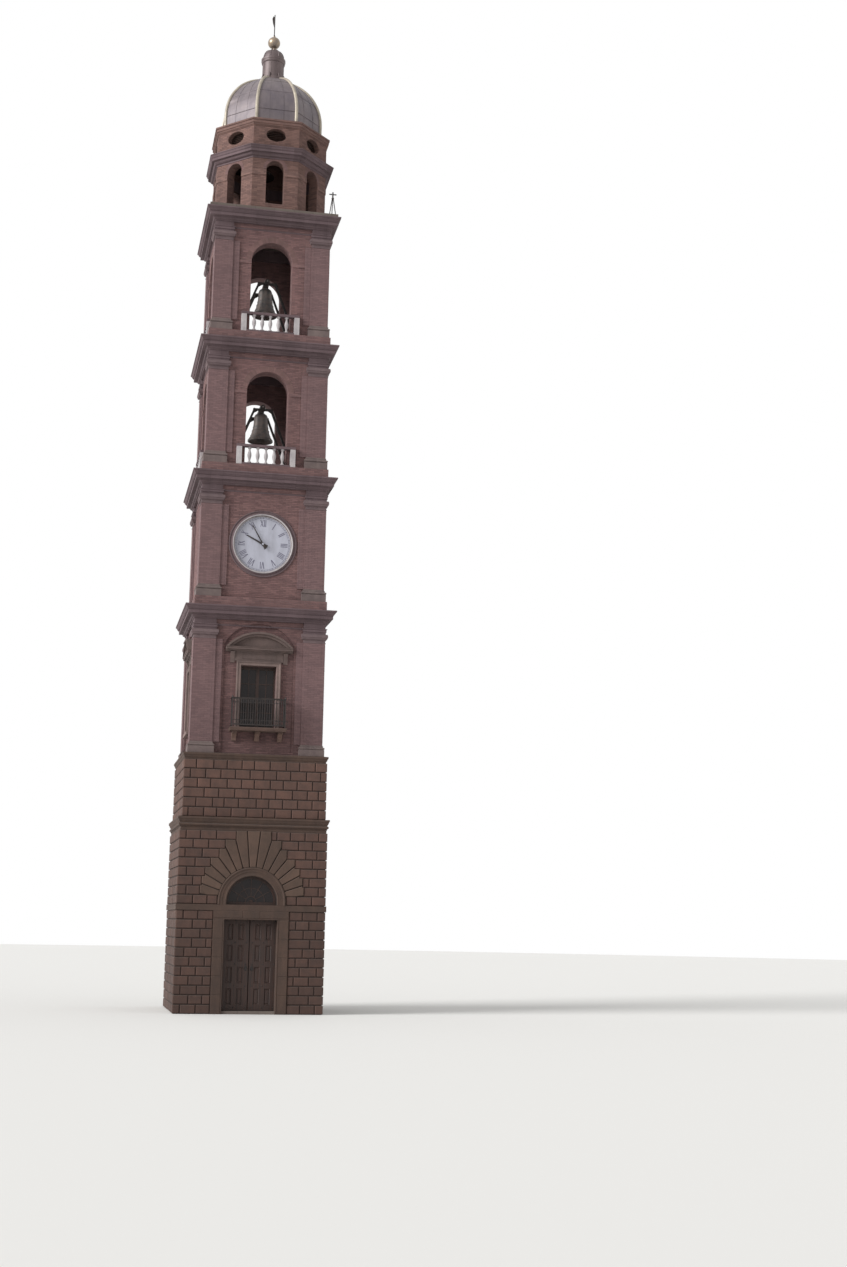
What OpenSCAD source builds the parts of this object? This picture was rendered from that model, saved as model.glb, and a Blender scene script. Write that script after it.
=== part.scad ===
// Bell tower with a clock storey, two open belfries, an octagonal drum and a ribbed dome.
// Scale model at 1:2. The front face looks towards -Y and the origin is the middle of the base.

/* [Storey widths] */
// Side of the ground storey
base_w = 3000; // [2960:10:3060]
// Side of the second ashlar storey
second_w = 2920; // [2880:10:2950]
// Side over the pilasters of the window storey
window_w = 2758; // [2730:2:2780]
// Side over the pilasters of the clock storey
clock_w = 2660; // [2640:2:2680]
// Side over the pilasters of the lower belfry
lower_w = 2576; // [2550:2:2600]
// Side over the pilasters of the upper belfry
upper_w = 2514; // [2490:2:2530]
// Width over the flats of the drum
drum_w = 2436; // [2400:6:2472]
// Width over the flats of the dome
dome_w = 2140; // [2100:10:2180]

/* [Storey heights] */
// Ground storey, up to its string course
ground_h = 3670; // [3640:10:3720]
// String course over the ground storey
string_h = 270; // [240:10:300]
// Second ashlar storey
second_h = 1180; // [1120:10:1240]
// Cap moulding of the ashlar storeys
cap_h = 144; // [120:4:160]
// Pilaster order of the window storey, with its bases and capitals
window_h = 2576; // [2560:4:2640]
// Pilaster order of the clock storey
clock_h = 2400; // [2360:10:2480]
// Pilaster order of the lower belfry
lower_h = 2470; // [2440:10:2520]
// Pilaster order of the upper belfry
upper_h = 2450; // [2430:10:2500]
// Architrave and frieze blocks over the pilasters
frieze_h = 230; // [215:5:250]
// Cornice over each storey
cornice_h = 270; // [250:5:300]
// Drum wall over its plinth
drum_h = 1050; // [1020:10:1080]
// Attic of the drum, with both its cornices
attic_h = 920; // [890:10:950]
// Upright skirt at the foot of the dome
skirt_h = 340; // [320:5:380]
// Rise of the dome over its skirt, to the point where its curve would close
dome_rise = 1170; // [1140:10:1200]

/* [Masonry] */
// Wall thickness of the ground storey
base_wall = 560; // [540:10:600]
// Wall thickness of the second ashlar storey
second_wall = 520; // [500:10:540]
// Wall thickness of the window and clock storeys
upper_wall = 330; // [320:5:350]
// Wall thickness of the belfries
belfry_wall = 300; // [290:5:320]
// Wall thickness of the drum
drum_wall = 230; // [210:5:250]
// How far a pilaster stands before its wall
pilaster_step = 45; // [40:1:50]
// Width of the corner pilasters of the window storey
window_pilaster = 460; // [440:5:480]
// Width of the corner pilasters of the clock storey
clock_pilaster = 440; // [420:5:460]
// Width of the corner pilasters of the lower belfry
lower_pilaster = 420; // [400:5:440]
// Width of the corner pilasters of the upper belfry
upper_pilaster = 395; // [380:5:410]
// Width of the plain strip beside each pilaster
strip_w = 120; // [100:5:130]
// Overhang of the cornices
cornice_out = 207; // [195:2:220]
// Thickness of the belfry and terrace floors
floor_t = 80; // [70:5:90]

/* [Portal] */
// Clear width of the portal
portal_w = 1080; // [1040:10:1100]
// Clear height of the portal
portal_h = 1876; // [1850:2:1900]
// Width of a jamb stone
jamb_w = 230; // [210:5:240]
// Height of the lintel
lintel_h = 180; // [160:5:190]
// Height of the impost band
impost_h = 120; // [100:5:130]
// Diameter of the lunette
lunette_d = 1040; // [1000:10:1060]
// Width of the archivolt round the lunette
archivolt_w = 175; // [160:5:190]
// Reach of the fan of voussoirs to either side
fan_r = 1060; // [1020:10:1100]
// Number of voussoirs
fan_n = 15; // [13:2:17]
// Thickness of a door leaf
leaf_t = 44; // [38:2:50]

/* [Window storey] */
// Clear width of a window
opening_w = 740; // [700:10:760]
// Head of a window over the storey's foot
opening_top = 1852; // [1840:2:1870]
// Sill of a window over the storey's foot
opening_sill = 530; // [510:5:545]
// Width of the stone frame round a window
frame_w = 96; // [80:2:110]
// Span of the pediment
pediment_w = 1400; // [1360:10:1430]
// Span of the round-headed recess
recess_w = 1470; // [1440:10:1490]
// Depth of the round-headed recess
recess_t = 30; // [24:2:36]
// Length of the balcony
balcony_w = 1150; // [1120:10:1180]
// How far the balcony stands out
balcony_out = 330; // [300:10:350]
// Height of the balcony parapet
parapet_h = 600; // [560:10:620]

/* [Clock] */
// Height of the dial's middle over the storey's foot
dial_up = 1400; // [1380:5:1420]
// Plain wall left between the clock's outer ring and the strips beside the pilasters
dial_gap = 24; // [16:2:40]
// Reach of the minute hand as a share of the dial's radius
minute_reach = 0.77; // [0.7:0.01:0.82]
// Reach of the hour hand as a share of the dial's radius
hour_reach = 0.65; // [0.58:0.01:0.7]

/* [Belfries] */
// Width of a belfry arch
arch_w = 897; // [870:3:910]
// Springing of the lower arches over the storey's foot
lower_spring = 1866; // [1850:2:1880]
// Springing of the upper arches over the storey's foot
upper_spring = 1845; // [1830:5:1860]
// Pedestal course at the foot of the clock storey and of the belfries
pedestal_h = 210; // [190:5:230]
// Height of the balustrades
balustrade_h = 440; // [420:5:460]
// Distance between baluster axes
baluster_pitch = 176; // [172:1:180]
// Lip diameter of the bells
bell_d = 554; // [530:2:570]
// Height of the bells from lip to crown
bell_h = 640; // [620:5:660]
// Bell axis over the lower belfry's foot
lower_axis = 1797; // [1780:1:1810]
// Bell axis over the upper belfry's foot
upper_axis = 1740; // [1720:1:1760]

/* [Top] */
// Width of a drum window
drum_opening = 397; // [380:1:410]
// Width of an attic oculus
oculus_w = 444; // [420:2:460]
// Height of an attic oculus
oculus_h = 300; // [280:2:310]
// Height of the lantern over the crown of the dome
lantern_h = 840; // [815:5:865]
// Diameter of the gilded ball
ball_d = 280; // [265:5:290]
// Length of the rod over the ball
rod_l = 563; // [533:10:593]
// Height of the terrace mast
mast_h = 550; // [530:10:570]

/* [Hidden] */
$fn = 64;

brick = [0.50, 0.30, 0.25];
warm_brick = [0.58, 0.36, 0.28];
ashlar = [0.47, 0.38, 0.32];
stone = [0.66, 0.60, 0.54];
white_stone = [0.80, 0.79, 0.77];
iron = [0.15, 0.15, 0.16];
bronze = [0.30, 0.31, 0.26];
lead = [0.62, 0.60, 0.56];
timber = [0.30, 0.17, 0.12];
gilt = [0.83, 0.66, 0.30];

// Heights of the storeys, from the ground up
entablature_h = frieze_h + cornice_h;
z_second = ground_h + string_h;
z_cap = z_second + second_h;
z_window = z_cap + cap_h;
z_clock = z_window + window_h + entablature_h;
z_lower = z_clock + clock_h + entablature_h;
z_upper = z_lower + lower_h + entablature_h;
z_terrace = z_upper + upper_h + entablature_h;
plinth_h = 160;
z_drum = z_terrace + floor_t + plinth_h;
z_attic = z_drum + drum_h;
z_dome = z_attic + attic_h;
z_spring = z_dome + skirt_h;
lantern_r = 246;
lantern_seat = lantern_r + 54;
z_crown = z_spring + dome_rise * sqrt(1 - pow(2 * lantern_seat / dome_w, 2));

// Half widths of the wall planes and of the rooms inside them
hall_half = base_w / 2 - base_wall;
second_room = second_w / 2 - second_wall;
window_half = window_w / 2 - pilaster_step;
window_room = window_half - upper_wall;
clock_half = clock_w / 2 - pilaster_step;
clock_room = clock_half - upper_wall;
lower_half = lower_w / 2 - pilaster_step;
lower_room = lower_half - belfry_wall;
upper_half = upper_w / 2 - pilaster_step;
upper_room = upper_half - belfry_wall;
ledge = 60;

// Portal sizes
jamb_proud = 30;
jamb_depth = 200;
jamb_back = -base_w / 2 + jamb_depth - jamb_proud;
reveal_half = portal_w / 2 + 100;
z_lintel = portal_h;
z_impost = z_lintel + lintel_h;
z_lunette = z_impost + impost_h + 64;
hall_floor_t = 60;
courses = 8;
course_h = (ground_h - z_impost - impost_h) / courses;
fan_start = 7.5;
fan_pitch = (180 - 2 * fan_start) / fan_n;
fan_joint = 16;
fan_steps = [1, 0.97, 0.91, 0.81, 0.65, 0.54, 0.335];
door_gap = 8;
rebate_gap = 9;
pin_r = 12;
pin_fit = 0.08;
seat_gap = 0.3;
leaf_lap = 20;
hinge_x = portal_w / 2 + leaf_lap;
hinge_y = jamb_back + rebate_gap + leaf_t + pin_r + 18;
leaf_h = portal_h - hall_floor_t + 30;
eye_h = 60;
hinge_levels = [0.14, 0.5, 0.86];

// Clock sizes
z_dial = z_clock + dial_up;
ring_w = 112;
dial_r = strip_edge(clock_w, clock_pilaster) - dial_gap - ring_w;
dial_d = 2 * dial_r;
dial_t = 24;
dial_recess = 46;
frame_out = 28;
dial_face = -clock_half + dial_recess - dial_t;
arbor_r = 13;
hand_t = 10;
hour_y = dial_face - 14;
minute_y = hour_y - hand_t - 10;

// Bell frames
frame_bar = 46;
frame_clear = 96;
frame_top = 185;
frame_depth = 350;
yoke_r = 26;
trunnion_r = 20;
crown_gap = 34;
clapper_pin = 9;
clapper_eye = 15;
clapper_drop = 40;
bearing_r = 44;
z_lower_axis = z_lower + lower_axis;
z_upper_axis = z_upper + upper_axis;

// Lantern and finial
knob_h = 25;
neck_h = 22;
z_ball = z_crown + lantern_h + knob_h + neck_h + ball_d / 2;
boss_r = 34;
boss_h = 14;

// The outline of a block that is as wide as its profile says on both sides. Each point of a profile
// is how far it stands out and its height.
function both_sides(profile, half) = concat(
    [for (p = profile) [half + p[0], p[1]]],
    [for (i = [len(profile) - 1:-1:0]) [-half - profile[i][0], profile[i][1]]]);
// A quarter round from one point of a profile to the next, bulging outwards
function ovolo(a, b, steps = 5) =
    [for (i = [0:steps]) let (turn = 90 * i / steps)
        [a[0] + (b[0] - a[0]) * sin(turn), b[1] - (b[1] - a[1]) * cos(turn)]];
// A wave from one point of a profile to the next, hollow above
function ogee(a, b, steps = 6) =
    [for (i = [0:steps]) [a[0] + (b[0] - a[0]) * (i / steps + sin(360 * i / steps) / 9),
        a[1] + (b[1] - a[1]) * i / steps]];
// A half round between two heights
function torus(out, low, high, steps = 6) =
    [for (i = [0:steps]) [out + (high - low) / 2 * sin(180 * i / steps),
        (low + high) / 2 - (high - low) / 2 * cos(180 * i / steps)]];

cornice_profile = concat(
    [[0, 0], [14, 0], [14, cornice_h * 0.06]],
    ovolo([20, cornice_h * 0.1], [62, cornice_h * 0.3]),
    [[cornice_out * 0.66, cornice_h * 0.34], [cornice_out * 0.66, cornice_h * 0.62],
        [cornice_out * 0.74, cornice_h * 0.62], [cornice_out * 0.74, cornice_h * 0.67]],
    ogee([cornice_out * 0.76, cornice_h * 0.68], [cornice_out * 0.97, cornice_h * 0.9]),
    [[cornice_out, cornice_h * 0.9], [cornice_out, cornice_h]]);
frieze_profile = [[8, 0], [8, frieze_h * 0.22], [20, frieze_h * 0.22], [20, frieze_h * 0.44],
    [34, frieze_h * 0.47], [34, frieze_h * 0.53], [0, frieze_h * 0.56], [0, frieze_h]];
architrave_profile = [[0, frieze_h * 0.4], [12, frieze_h * 0.42], [12, frieze_h * 0.48], [18, frieze_h * 0.5],
    [18, frieze_h * 0.54], [0, frieze_h * 0.56]];
capital_h = 190;
capital_profile = concat(
    [[0, 0], [10, 0], [10, 14], [0, 18], [0, 66]],
    ovolo([8, 72], [44, 120]),
    [[52, 122], [52, 172], [44, 178], [44, capital_h]]);
// A pilaster's base: a square plinth, a round and a fillet
function base_moulding(h) = concat([[40, 0], [40, h * 0.58]], torus(22, h * 0.6, h * 0.8),
    [[14, h * 0.83], [14, h * 0.93], [0, h]]);
string_profile = concat(
    [[-40, 0], [0, 0], [0, string_h * 0.2], [16, string_h * 0.24]],
    torus(10, string_h * 0.3, string_h * 0.52),
    [[18, string_h * 0.56], [18, string_h * 0.6]],
    ogee([22, string_h * 0.62], [52, string_h * 0.84]),
    [[56, string_h * 0.86], [56, string_h], [-60, string_h]]);
cap_profile = concat(
    [[-40, 0], [0, 0], [0, cap_h * 0.16]],
    ogee([8, cap_h * 0.2], [36, cap_h * 0.6]),
    [[42, cap_h * 0.64], [42, cap_h * 0.9], [-60, cap_h]]);

// More than any profile stands out
widest = 500;

// A block whose sides all follow one profile, mitred at its four corners
module square_mass(profile, half) {
    span = 2 * half + 2 * widest;
    intersection() {
        rotate([90, 0, 0]) linear_extrude(span, center = true) polygon(both_sides(profile, half));
        rotate([90, 0, 90]) linear_extrude(span, center = true) polygon(both_sides(profile, half));
    }
}

// The same with eight sides
module octagon_mass(profile, half) {
    span = 2 * half + 2 * widest;
    intersection() {
        rotate([90, 0, 0]) linear_extrude(span, center = true) polygon(both_sides(profile, half));
        rotate([90, 0, 45]) linear_extrude(span, center = true) polygon(both_sides(profile, half));
        rotate([90, 0, 90]) linear_extrude(span, center = true) polygon(both_sides(profile, half));
        rotate([90, 0, 135]) linear_extrude(span, center = true) polygon(both_sides(profile, half));
    }
}

module square_prism(half, z0, z1) {
    translate([-half, -half, z0]) cube([2 * half, 2 * half, z1 - z0]);
}

module octagon_prism(half, z0, z1) {
    k = half * tan(22.5);
    translate([0, 0, z0]) linear_extrude(z1 - z0)
        polygon([[half, -k], [half, k], [k, half], [-k, half],
            [-half, k], [-half, -k], [-k, -half], [k, -half]]);
}

module square_ring(outer, inner, z0, z1) {
    difference() {
        square_prism(outer, z0, z1);
        square_prism(inner, z0 - 1, z1 + 1);
    }
}

module four_sides() {
    for (turn = [0:90:270]) {
        rotate(turn) children();
    }
}

// Draws a thing on the +X side, and its mirror image on the -X side
module both_hands() {
    children();
    mirror([1, 0, 0]) children();
}

// Puts one copy of a post at each corner, centred on the corner pilaster
module four_corners(side_w, pilaster_w) {
    centre = side_w / 2 - pilaster_w / 2;
    for (x = [-1, 1], y = [-1, 1]) {
        translate([x * centre, y * centre, 0]) children();
    }
}

// A flat shape drawn in X and Z, given a thickness from y0 to y1
module upright(y0, y1) {
    translate([0, y1, 0]) rotate([90, 0, 0]) linear_extrude(y1 - y0) children();
}

// A round-headed shape of width w from the height z0, springing at z_s
module arch_shape(w, z0, z_s) {
    difference() {
        union() {
            translate([-w / 2, z0]) square([w, z_s - z0]);
            translate([0, z_s]) circle(d = w);
        }
        translate([-w, z0 - 2 * w]) square([2 * w, 2 * w]);
    }
}

// The rectangle x0..x1 by z0..z1, extruded from y0 to y1
module block(x0, x1, y0, y1, z0, z1) {
    translate([x0, y0, z0]) cube([x1 - x0, y1 - y0, z1 - z0]);
}

// Ground storey

module hall_floor() {
    color(ashlar) {
        block(-hall_half, hall_half, -hall_half, hall_half, 0, hall_floor_t);
        block(-reveal_half, reveal_half, jamb_back, -hall_half, 0, hall_floor_t);
        block(-portal_w / 2, portal_w / 2, -base_w / 2, jamb_back, 0, hall_floor_t);
    }
}

module front_wall_piers() {
    color(ashlar)
    both_hands() {
        block(reveal_half, base_w / 2, jamb_back, -hall_half, 0, z_impost);
        block(portal_w / 2 + jamb_w, base_w / 2, -base_w / 2, jamb_back, 0, z_impost);
    }
}

module front_wall_arch() {
    color(ashlar)
    difference() {
        block(-base_w / 2, base_w / 2, -base_w / 2, -hall_half, z_impost, ground_h);
        upright(-base_w / 2 - 1, -hall_half + 1) arch_shape(lunette_d, z_impost + impost_h, z_lunette);
    }
}

module side_walls() {
    color(ashlar)
    for (turn = [0, 180]) {
        rotate(turn) block(hall_half, base_w / 2, -hall_half, hall_half, 0, ground_h);
    }
}

module back_wall() {
    color(ashlar) block(-base_w / 2, base_w / 2, hall_half, base_w / 2, 0, ground_h);
}

module portal_frame() {
    face = -base_w / 2 - jamb_proud;
    outer = portal_w / 2 + jamb_w;
    color(stone)
    difference() {
        block(-outer, outer, face, jamb_back, 0, z_impost);
        block(-portal_w / 2, portal_w / 2, face - 1, jamb_back + 1, -1, z_lintel);
    }
}

// The fan: an archivolt with wedge stones that lengthen, course by course, up to the string course
module portal_arch() {
    proud = 22;
    face = -base_w / 2;
    inner = lunette_d / 2;
    outer = inner + archivolt_w;
    color(stone) {
        upright(face - proud, face) intersection() {
            for (i = [0:fan_n - 1]) {
                translate([0, z_lunette]) rotate(fan_start + fan_pitch * (i + 0.5))
                    wedge(outer - 10, 2 * fan_r);
            }
            fan_outline();
        }
        difference() {
            upright(face - proud, face) arch_shape(2 * outer, z_impost + impost_h, z_lunette);
            upright(face - proud - 1, face + 1) arch_shape(2 * inner, z_impost + impost_h - 1, z_lunette);
        }
    }
}

// One wedge stone between two radii, with half a joint left open on either side
module wedge(near, far) {
    polygon([for (end = [[near, -1], [far, -1], [far, 1], [near, 1]])
        let (half = fan_pitch / 2 - atan(fan_joint / 2 / end[0]))
            [end[0] * cos(half), end[1] * end[0] * sin(half)]]);
}

// The stepped outline of the fan: each course of the ashlar ends a little nearer to the middle
module fan_outline() {
    sides = [for (i = [0:len(fan_steps) - 1], up = [1, 0])
        [fan_r * fan_steps[i], ground_h - course_h * (len(fan_steps) - 1 - i + up)]];
    polygon(concat(sides, [for (i = [len(sides) - 1:-1:0]) [-sides[i][0], sides[i][1]]]));
}

// Iron pins that the leaves' eyes turn on, each with a collar under the eye and an arm into the jamb
module door_hinges() {
    color(iron) both_hands() {
        for (level = hinge_levels) {
            z = hall_floor_t + leaf_h * level;
            translate([hinge_x, hinge_y, z]) {
                cylinder(r = pin_r, h = eye_h + 12);
                translate([0, 0, -22]) cylinder(r = pin_r + 12, h = 22);
            }
            block(hinge_x, reveal_half, hinge_y - 9, hinge_y + 9, z - 20, z - 2);
        }
    }
}

// One leaf, hung at x = 0 and y = 0 on its hinge axis and reaching towards +X. The meeting edge is
// bevelled so that both leaves can swing inwards together.
module leaf() {
    bottom = hall_floor_t + door_gap;
    height = leaf_h - door_gap;
    front = jamb_back + rebate_gap - hinge_y;
    back = front + leaf_t;
    reach = hinge_x - door_gap / 2;
    front_reach = sqrt(reach * reach + back * back - front * front);
    rail = 110;
    panel_w = (front_reach - 3 * rail) / 2;
    panel_h = (height - 5 * rail) / 4;
    difference() {
        translate([0, 0, bottom]) linear_extrude(height)
            polygon([[-leaf_lap, front], [front_reach, front], [reach, back], [-leaf_lap, back]]);
        for (column = [0, 1], row = [0:3]) {
            x = rail + column * (panel_w + rail);
            z = bottom + rail + row * (panel_h + rail);
            block(x, x + panel_w, front - 1, front + 12, z, z + panel_h);
        }
    }
    for (level = hinge_levels) {
        z = hall_floor_t + leaf_h * level;
        difference() {
            union() {
                translate([0, 0, z + seat_gap]) cylinder(r = pin_r + 12, h = eye_h - seat_gap);
                block(0, 260, back - 1, back + 16, z + 4, z + eye_h - 4);
            }
            translate([0, 0, z - 1]) cylinder(r = pin_r + pin_fit, h = eye_h + 2);
        }
    }
}

module left_door_leaf() {
    color(timber) translate([-hinge_x, hinge_y, 0]) leaf();
}

module right_door_leaf() {
    color(timber) translate([hinge_x, hinge_y, 0]) mirror([1, 0, 0]) leaf();
}

// Timber frames with glass: the fanlight over the portal and one window a side in the window storey
module windows() {
    foot = z_impost + impost_h;
    fan_front = -base_w / 2 + 160;
    color(timber)
    difference() {
        upright(fan_front, fan_front + 50) arch_shape(lunette_d - 2 * seat_gap, foot, z_lunette);
        upright(fan_front - 1, fan_front + 16) arch_shape(lunette_d - 120, foot + 60, z_lunette);
    }
    color(timber) four_sides() difference() {
        block(-opening_w / 2, opening_w / 2, -window_half + 180, -window_half + 230,
            z_window + opening_sill, z_window + opening_top);
        for (side = [-1, 1]) {
            translate([side * opening_w / 4, 0, 0])
                block(-opening_w / 4 + 34, opening_w / 4 - 34, -window_half + 179, -window_half + 196,
                    z_window + opening_sill + 60, z_window + opening_top - 60);
        }
    }
}

module base_mouldings() {
    color(stone) {
        square_ring(base_w / 2 + 34, base_w / 2, z_impost, z_impost + impost_h);
        difference() {
            translate([0, 0, ground_h]) square_mass(string_profile, base_w / 2);
            square_prism(hall_half, ground_h - 1, z_second + 1);
        }
        difference() {
            translate([0, 0, z_cap]) square_mass(cap_profile, second_w / 2);
            square_prism(second_room, z_cap - 1, z_window + 1);
        }
    }
}

module second_storey_walls() {
    color(ashlar) square_ring(second_w / 2, second_room, z_second, z_cap);
}

// Window storey

// A flat floor over a barrel vault that springs from the cap moulding's ledge
module window_storey_floor() {
    top = z_window + opening_sill - 10;
    rise = 380;
    chord = second_room - 20;
    vault_r = (chord * chord + rise * rise) / (2 * rise);
    color(brick)
    difference() {
        block(-window_room, window_room, -window_room, window_room, z_window, top);
        translate([0, 0, z_window + rise - vault_r]) rotate([0, 90, 0])
            cylinder(r = vault_r, h = 2 * window_room + 10, center = true, $fn = 128);
    }
}

function recess_radius(rise) = (recess_w * recess_w / 4 + rise * rise) / (2 * rise);

// The wall of one side, with its shallow round-headed recess and the window cut through
module window_wall(half_length) {
    top = z_window + window_h + frieze_h;
    crown = top - 60;
    rise = 450;
    r = recess_radius(rise);
    half = recess_w / 2;
    front = -window_half - 1;
    back = -window_half + recess_t;
    difference() {
        block(-half_length, half_length, -window_half, -window_room, z_window, top);
        block(-half, half, front, back, z_window + 60, crown - rise + 1);
        intersection() {
            block(-half, half, front, back, crown - rise, crown + 1);
            translate([0, 0, crown - r]) rotate([90, 0, 0])
                cylinder(r = r, h = 3 * window_half, center = true, $fn = 128);
        }
        block(-opening_w / 2, opening_w / 2, front, -window_room + 1,
            z_window + opening_sill, z_window + opening_top);
    }
}

module window_front_back_walls() {
    color(brick)
    for (turn = [0, 180]) {
        rotate(turn) window_wall(window_half);
    }
}

module window_side_walls() {
    color(brick)
    for (turn = [90, 270]) {
        rotate(turn) window_wall(window_room);
    }
}

// Stone frame, frieze, cornice and segmental pediment of one window, standing in the recess
module window_surround() {
    face = -window_half + recess_t;
    sill = z_window + opening_sill;
    head = z_window + opening_top;
    frieze_top = head + frame_w + 190;
    shelf_h = 100;
    rise = 320;
    chord = pediment_w / 2;
    r = (chord * chord + rise * rise) / (2 * rise);
    outer = opening_w / 2 + frame_w;
    difference() {
        block(-outer, outer, face - 60, face, sill, head + frame_w);
        block(-opening_w / 2, opening_w / 2, face - 61, face + 1, sill - 1, head);
    }
    block(-outer - 40, outer + 40, face - 30, face, head + frame_w, frieze_top);
    for (side = [-1, 1]) {
        translate([side * (outer + 90), 0, 0]) upright_bracket(face, frieze_top);
    }
    intersection() {
        block(-chord, chord, face - 170, face, frieze_top, frieze_top + shelf_h);
        translate([0, 0, frieze_top]) rotate([90, 0, 90]) linear_extrude(pediment_w + 2, center = true)
            polygon(concat([[face, 0]], [for (p = shelf_profile) [face - p[0], p[1]]], [[face, shelf_h]]));
    }
    translate([0, face, frieze_top + shelf_h]) rotate([90, 0, 0]) pediment_arc(r, rise, chord);
}

shelf_profile = concat([[40, 0], [44, 10]], ovolo([50, 14], [100, 44]),
    [[140, 46], [140, 78]], [[150, 82], [160, 100]]);

// A console that carries one end of the window's cornice
module upright_bracket(face, top) {
    h = 230;
    translate([0, 0, top - h]) rotate([90, 0, 90]) linear_extrude(90, center = true)
        polygon(concat([[face, 0]], [for (i = [0:6]) [face - 24 - 60 * (1 - cos(15 * i)), h * i / 6]],
            [[face, h]]));
}

// The curved cornice of the pediment over its plain tympanum, drawn in X and Y with the thickness up
module pediment_arc(r, rise, chord) {
    band = 90;
    linear_extrude(60) intersection() {
        translate([0, rise - r]) circle(r = r, $fn = 128);
        translate([-chord, 0]) square([2 * chord, rise + 1]);
    }
    linear_extrude(120) difference() {
        intersection() {
            translate([0, rise - r]) circle(r = r, $fn = 128);
            translate([-chord, 0]) square([2 * chord, rise + 1]);
        }
        translate([0, rise - r]) circle(r = r - band, $fn = 128);
    }
    linear_extrude(160) difference() {
        intersection() {
            translate([0, rise - r]) circle(r = r, $fn = 128);
            translate([-chord, 0]) square([2 * chord, rise + 1]);
        }
        translate([0, rise - r]) circle(r = r - band * 0.45, $fn = 128);
    }
}

module window_surrounds() {
    sill = z_window + opening_sill;
    face = -window_half + recess_t;
    color(stone) {
        four_sides() window_surround();
        for (turn = [90, 180, 270]) {
            rotate(turn) block(-opening_w / 2 - frame_w - 30, opening_w / 2 + frame_w + 30,
                face - 95, face, sill - 70, sill);
        }
    }
}

// Stone slab on three brackets, on the front only
module balcony() {
    face = -window_half + recess_t;
    top = z_window + opening_sill;
    slab_t = 70;
    color(stone) {
        block(-balcony_w / 2, balcony_w / 2, -window_half - balcony_out, face, top - slab_t, top);
        for (x = [-1, 0, 1]) {
            translate([x * (balcony_w / 2 - 100), 0, top - slab_t - 190])
                rotate([90, 0, 90]) linear_extrude(96, center = true)
                    polygon(concat([[face, 0], [face, 190], [-window_half - balcony_out + 60, 190]],
                        [for (i = [0:6]) [-window_half - balcony_out + 60 + (balcony_out - 90) * sin(15 * i),
                            160 - 160 * (1 - cos(15 * i))]]));
        }
    }
}

// Iron parapet: a frame of rails and posts with a closed lower panel and upright bars
module balcony_parapet() {
    top = z_window + opening_sill;
    out = -window_half - balcony_out + 20;
    bar = 20;
    end = balcony_w / 2 - 16;
    low = top + 40;
    high = top + parapet_h;
    bars = 22;
    color(iron) {
        for (x = [-end, end - bar]) {
            block(x, x + bar, out, out + bar, top, high);
            for (z = [low, high - bar]) {
                block(x, x + bar, out, -window_half, z, z + bar);
            }
            for (i = [1:4]) {
                block(x + 4, x + bar - 4, out + i * 56, out + i * 56 + 10, low + 1, high - 1);
            }
        }
        for (z = [low, high - bar]) {
            block(-end, end, out, out + bar, z, z + bar);
        }
        for (i = [1:bars]) {
            x = -end + i * 2 * end / (bars + 1);
            block(x - 6, x + 6, out + 4, out + bar - 4, low + 1, high - 1);
        }
    }
}

// Shared by all the orders: a pilaster shaft at each corner, with a narrower strip behind it
module shafts(side_w, pilaster_w, z0, z1) {
    wall = side_w / 2 - pilaster_step;
    difference() {
        union() {
            four_corners(side_w, pilaster_w) square_prism(pilaster_w / 2, z0, z1);
            four_corners(side_w - pilaster_step, pilaster_w + strip_w)
                square_prism((pilaster_w + strip_w) / 2, z0, z1);
        }
        square_prism(wall, z0 - 1, z1 + 1);
    }
}

// Where the wall comes out from behind the strip, from the middle of the side
function strip_edge(side_w, pilaster_w) = (side_w - pilaster_step) / 2 - pilaster_w - strip_w;

module moulded_corners(side_w, pilaster_w, profile, z) {
    wall = side_w / 2 - pilaster_step;
    difference() {
        four_corners(side_w, pilaster_w) translate([0, 0, z]) square_mass(profile, pilaster_w / 2);
        square_prism(wall, z - 1, z + base_h + capital_h);
    }
}

pedestal_out = 64;
balustrade_gap = 5;
base_h = 260;
plain_base_h = 230;

module corner_pilasters() {
    color(warm_brick) {
        shafts(window_w, window_pilaster, z_window + plain_base_h, z_window + window_h - capital_h);
        shafts(clock_w, clock_pilaster, z_clock + pedestal_h + base_h, z_clock + clock_h - capital_h);
        shafts(lower_w, lower_pilaster, z_lower + pedestal_h + base_h, z_lower + lower_h - capital_h);
        shafts(upper_w, upper_pilaster, z_upper + pedestal_h + base_h, z_upper + upper_h - capital_h);
    }
}

module pilaster_bases() {
    color(stone) {
        moulded_corners(window_w, window_pilaster, base_moulding(plain_base_h), z_window);
        moulded_corners(clock_w, clock_pilaster, base_moulding(base_h), z_clock + pedestal_h);
        moulded_corners(lower_w, lower_pilaster, base_moulding(base_h), z_lower + pedestal_h);
        moulded_corners(upper_w, upper_pilaster, base_moulding(base_h), z_upper + pedestal_h);
    }
}

module pilaster_capitals() {
    color(stone) {
        moulded_corners(window_w, window_pilaster, capital_profile, z_window + window_h - capital_h);
        moulded_corners(clock_w, clock_pilaster, capital_profile, z_clock + clock_h - capital_h);
        moulded_corners(lower_w, lower_pilaster, capital_profile, z_lower + lower_h - capital_h);
        moulded_corners(upper_w, upper_pilaster, capital_profile, z_upper + upper_h - capital_h);
    }
}

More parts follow.
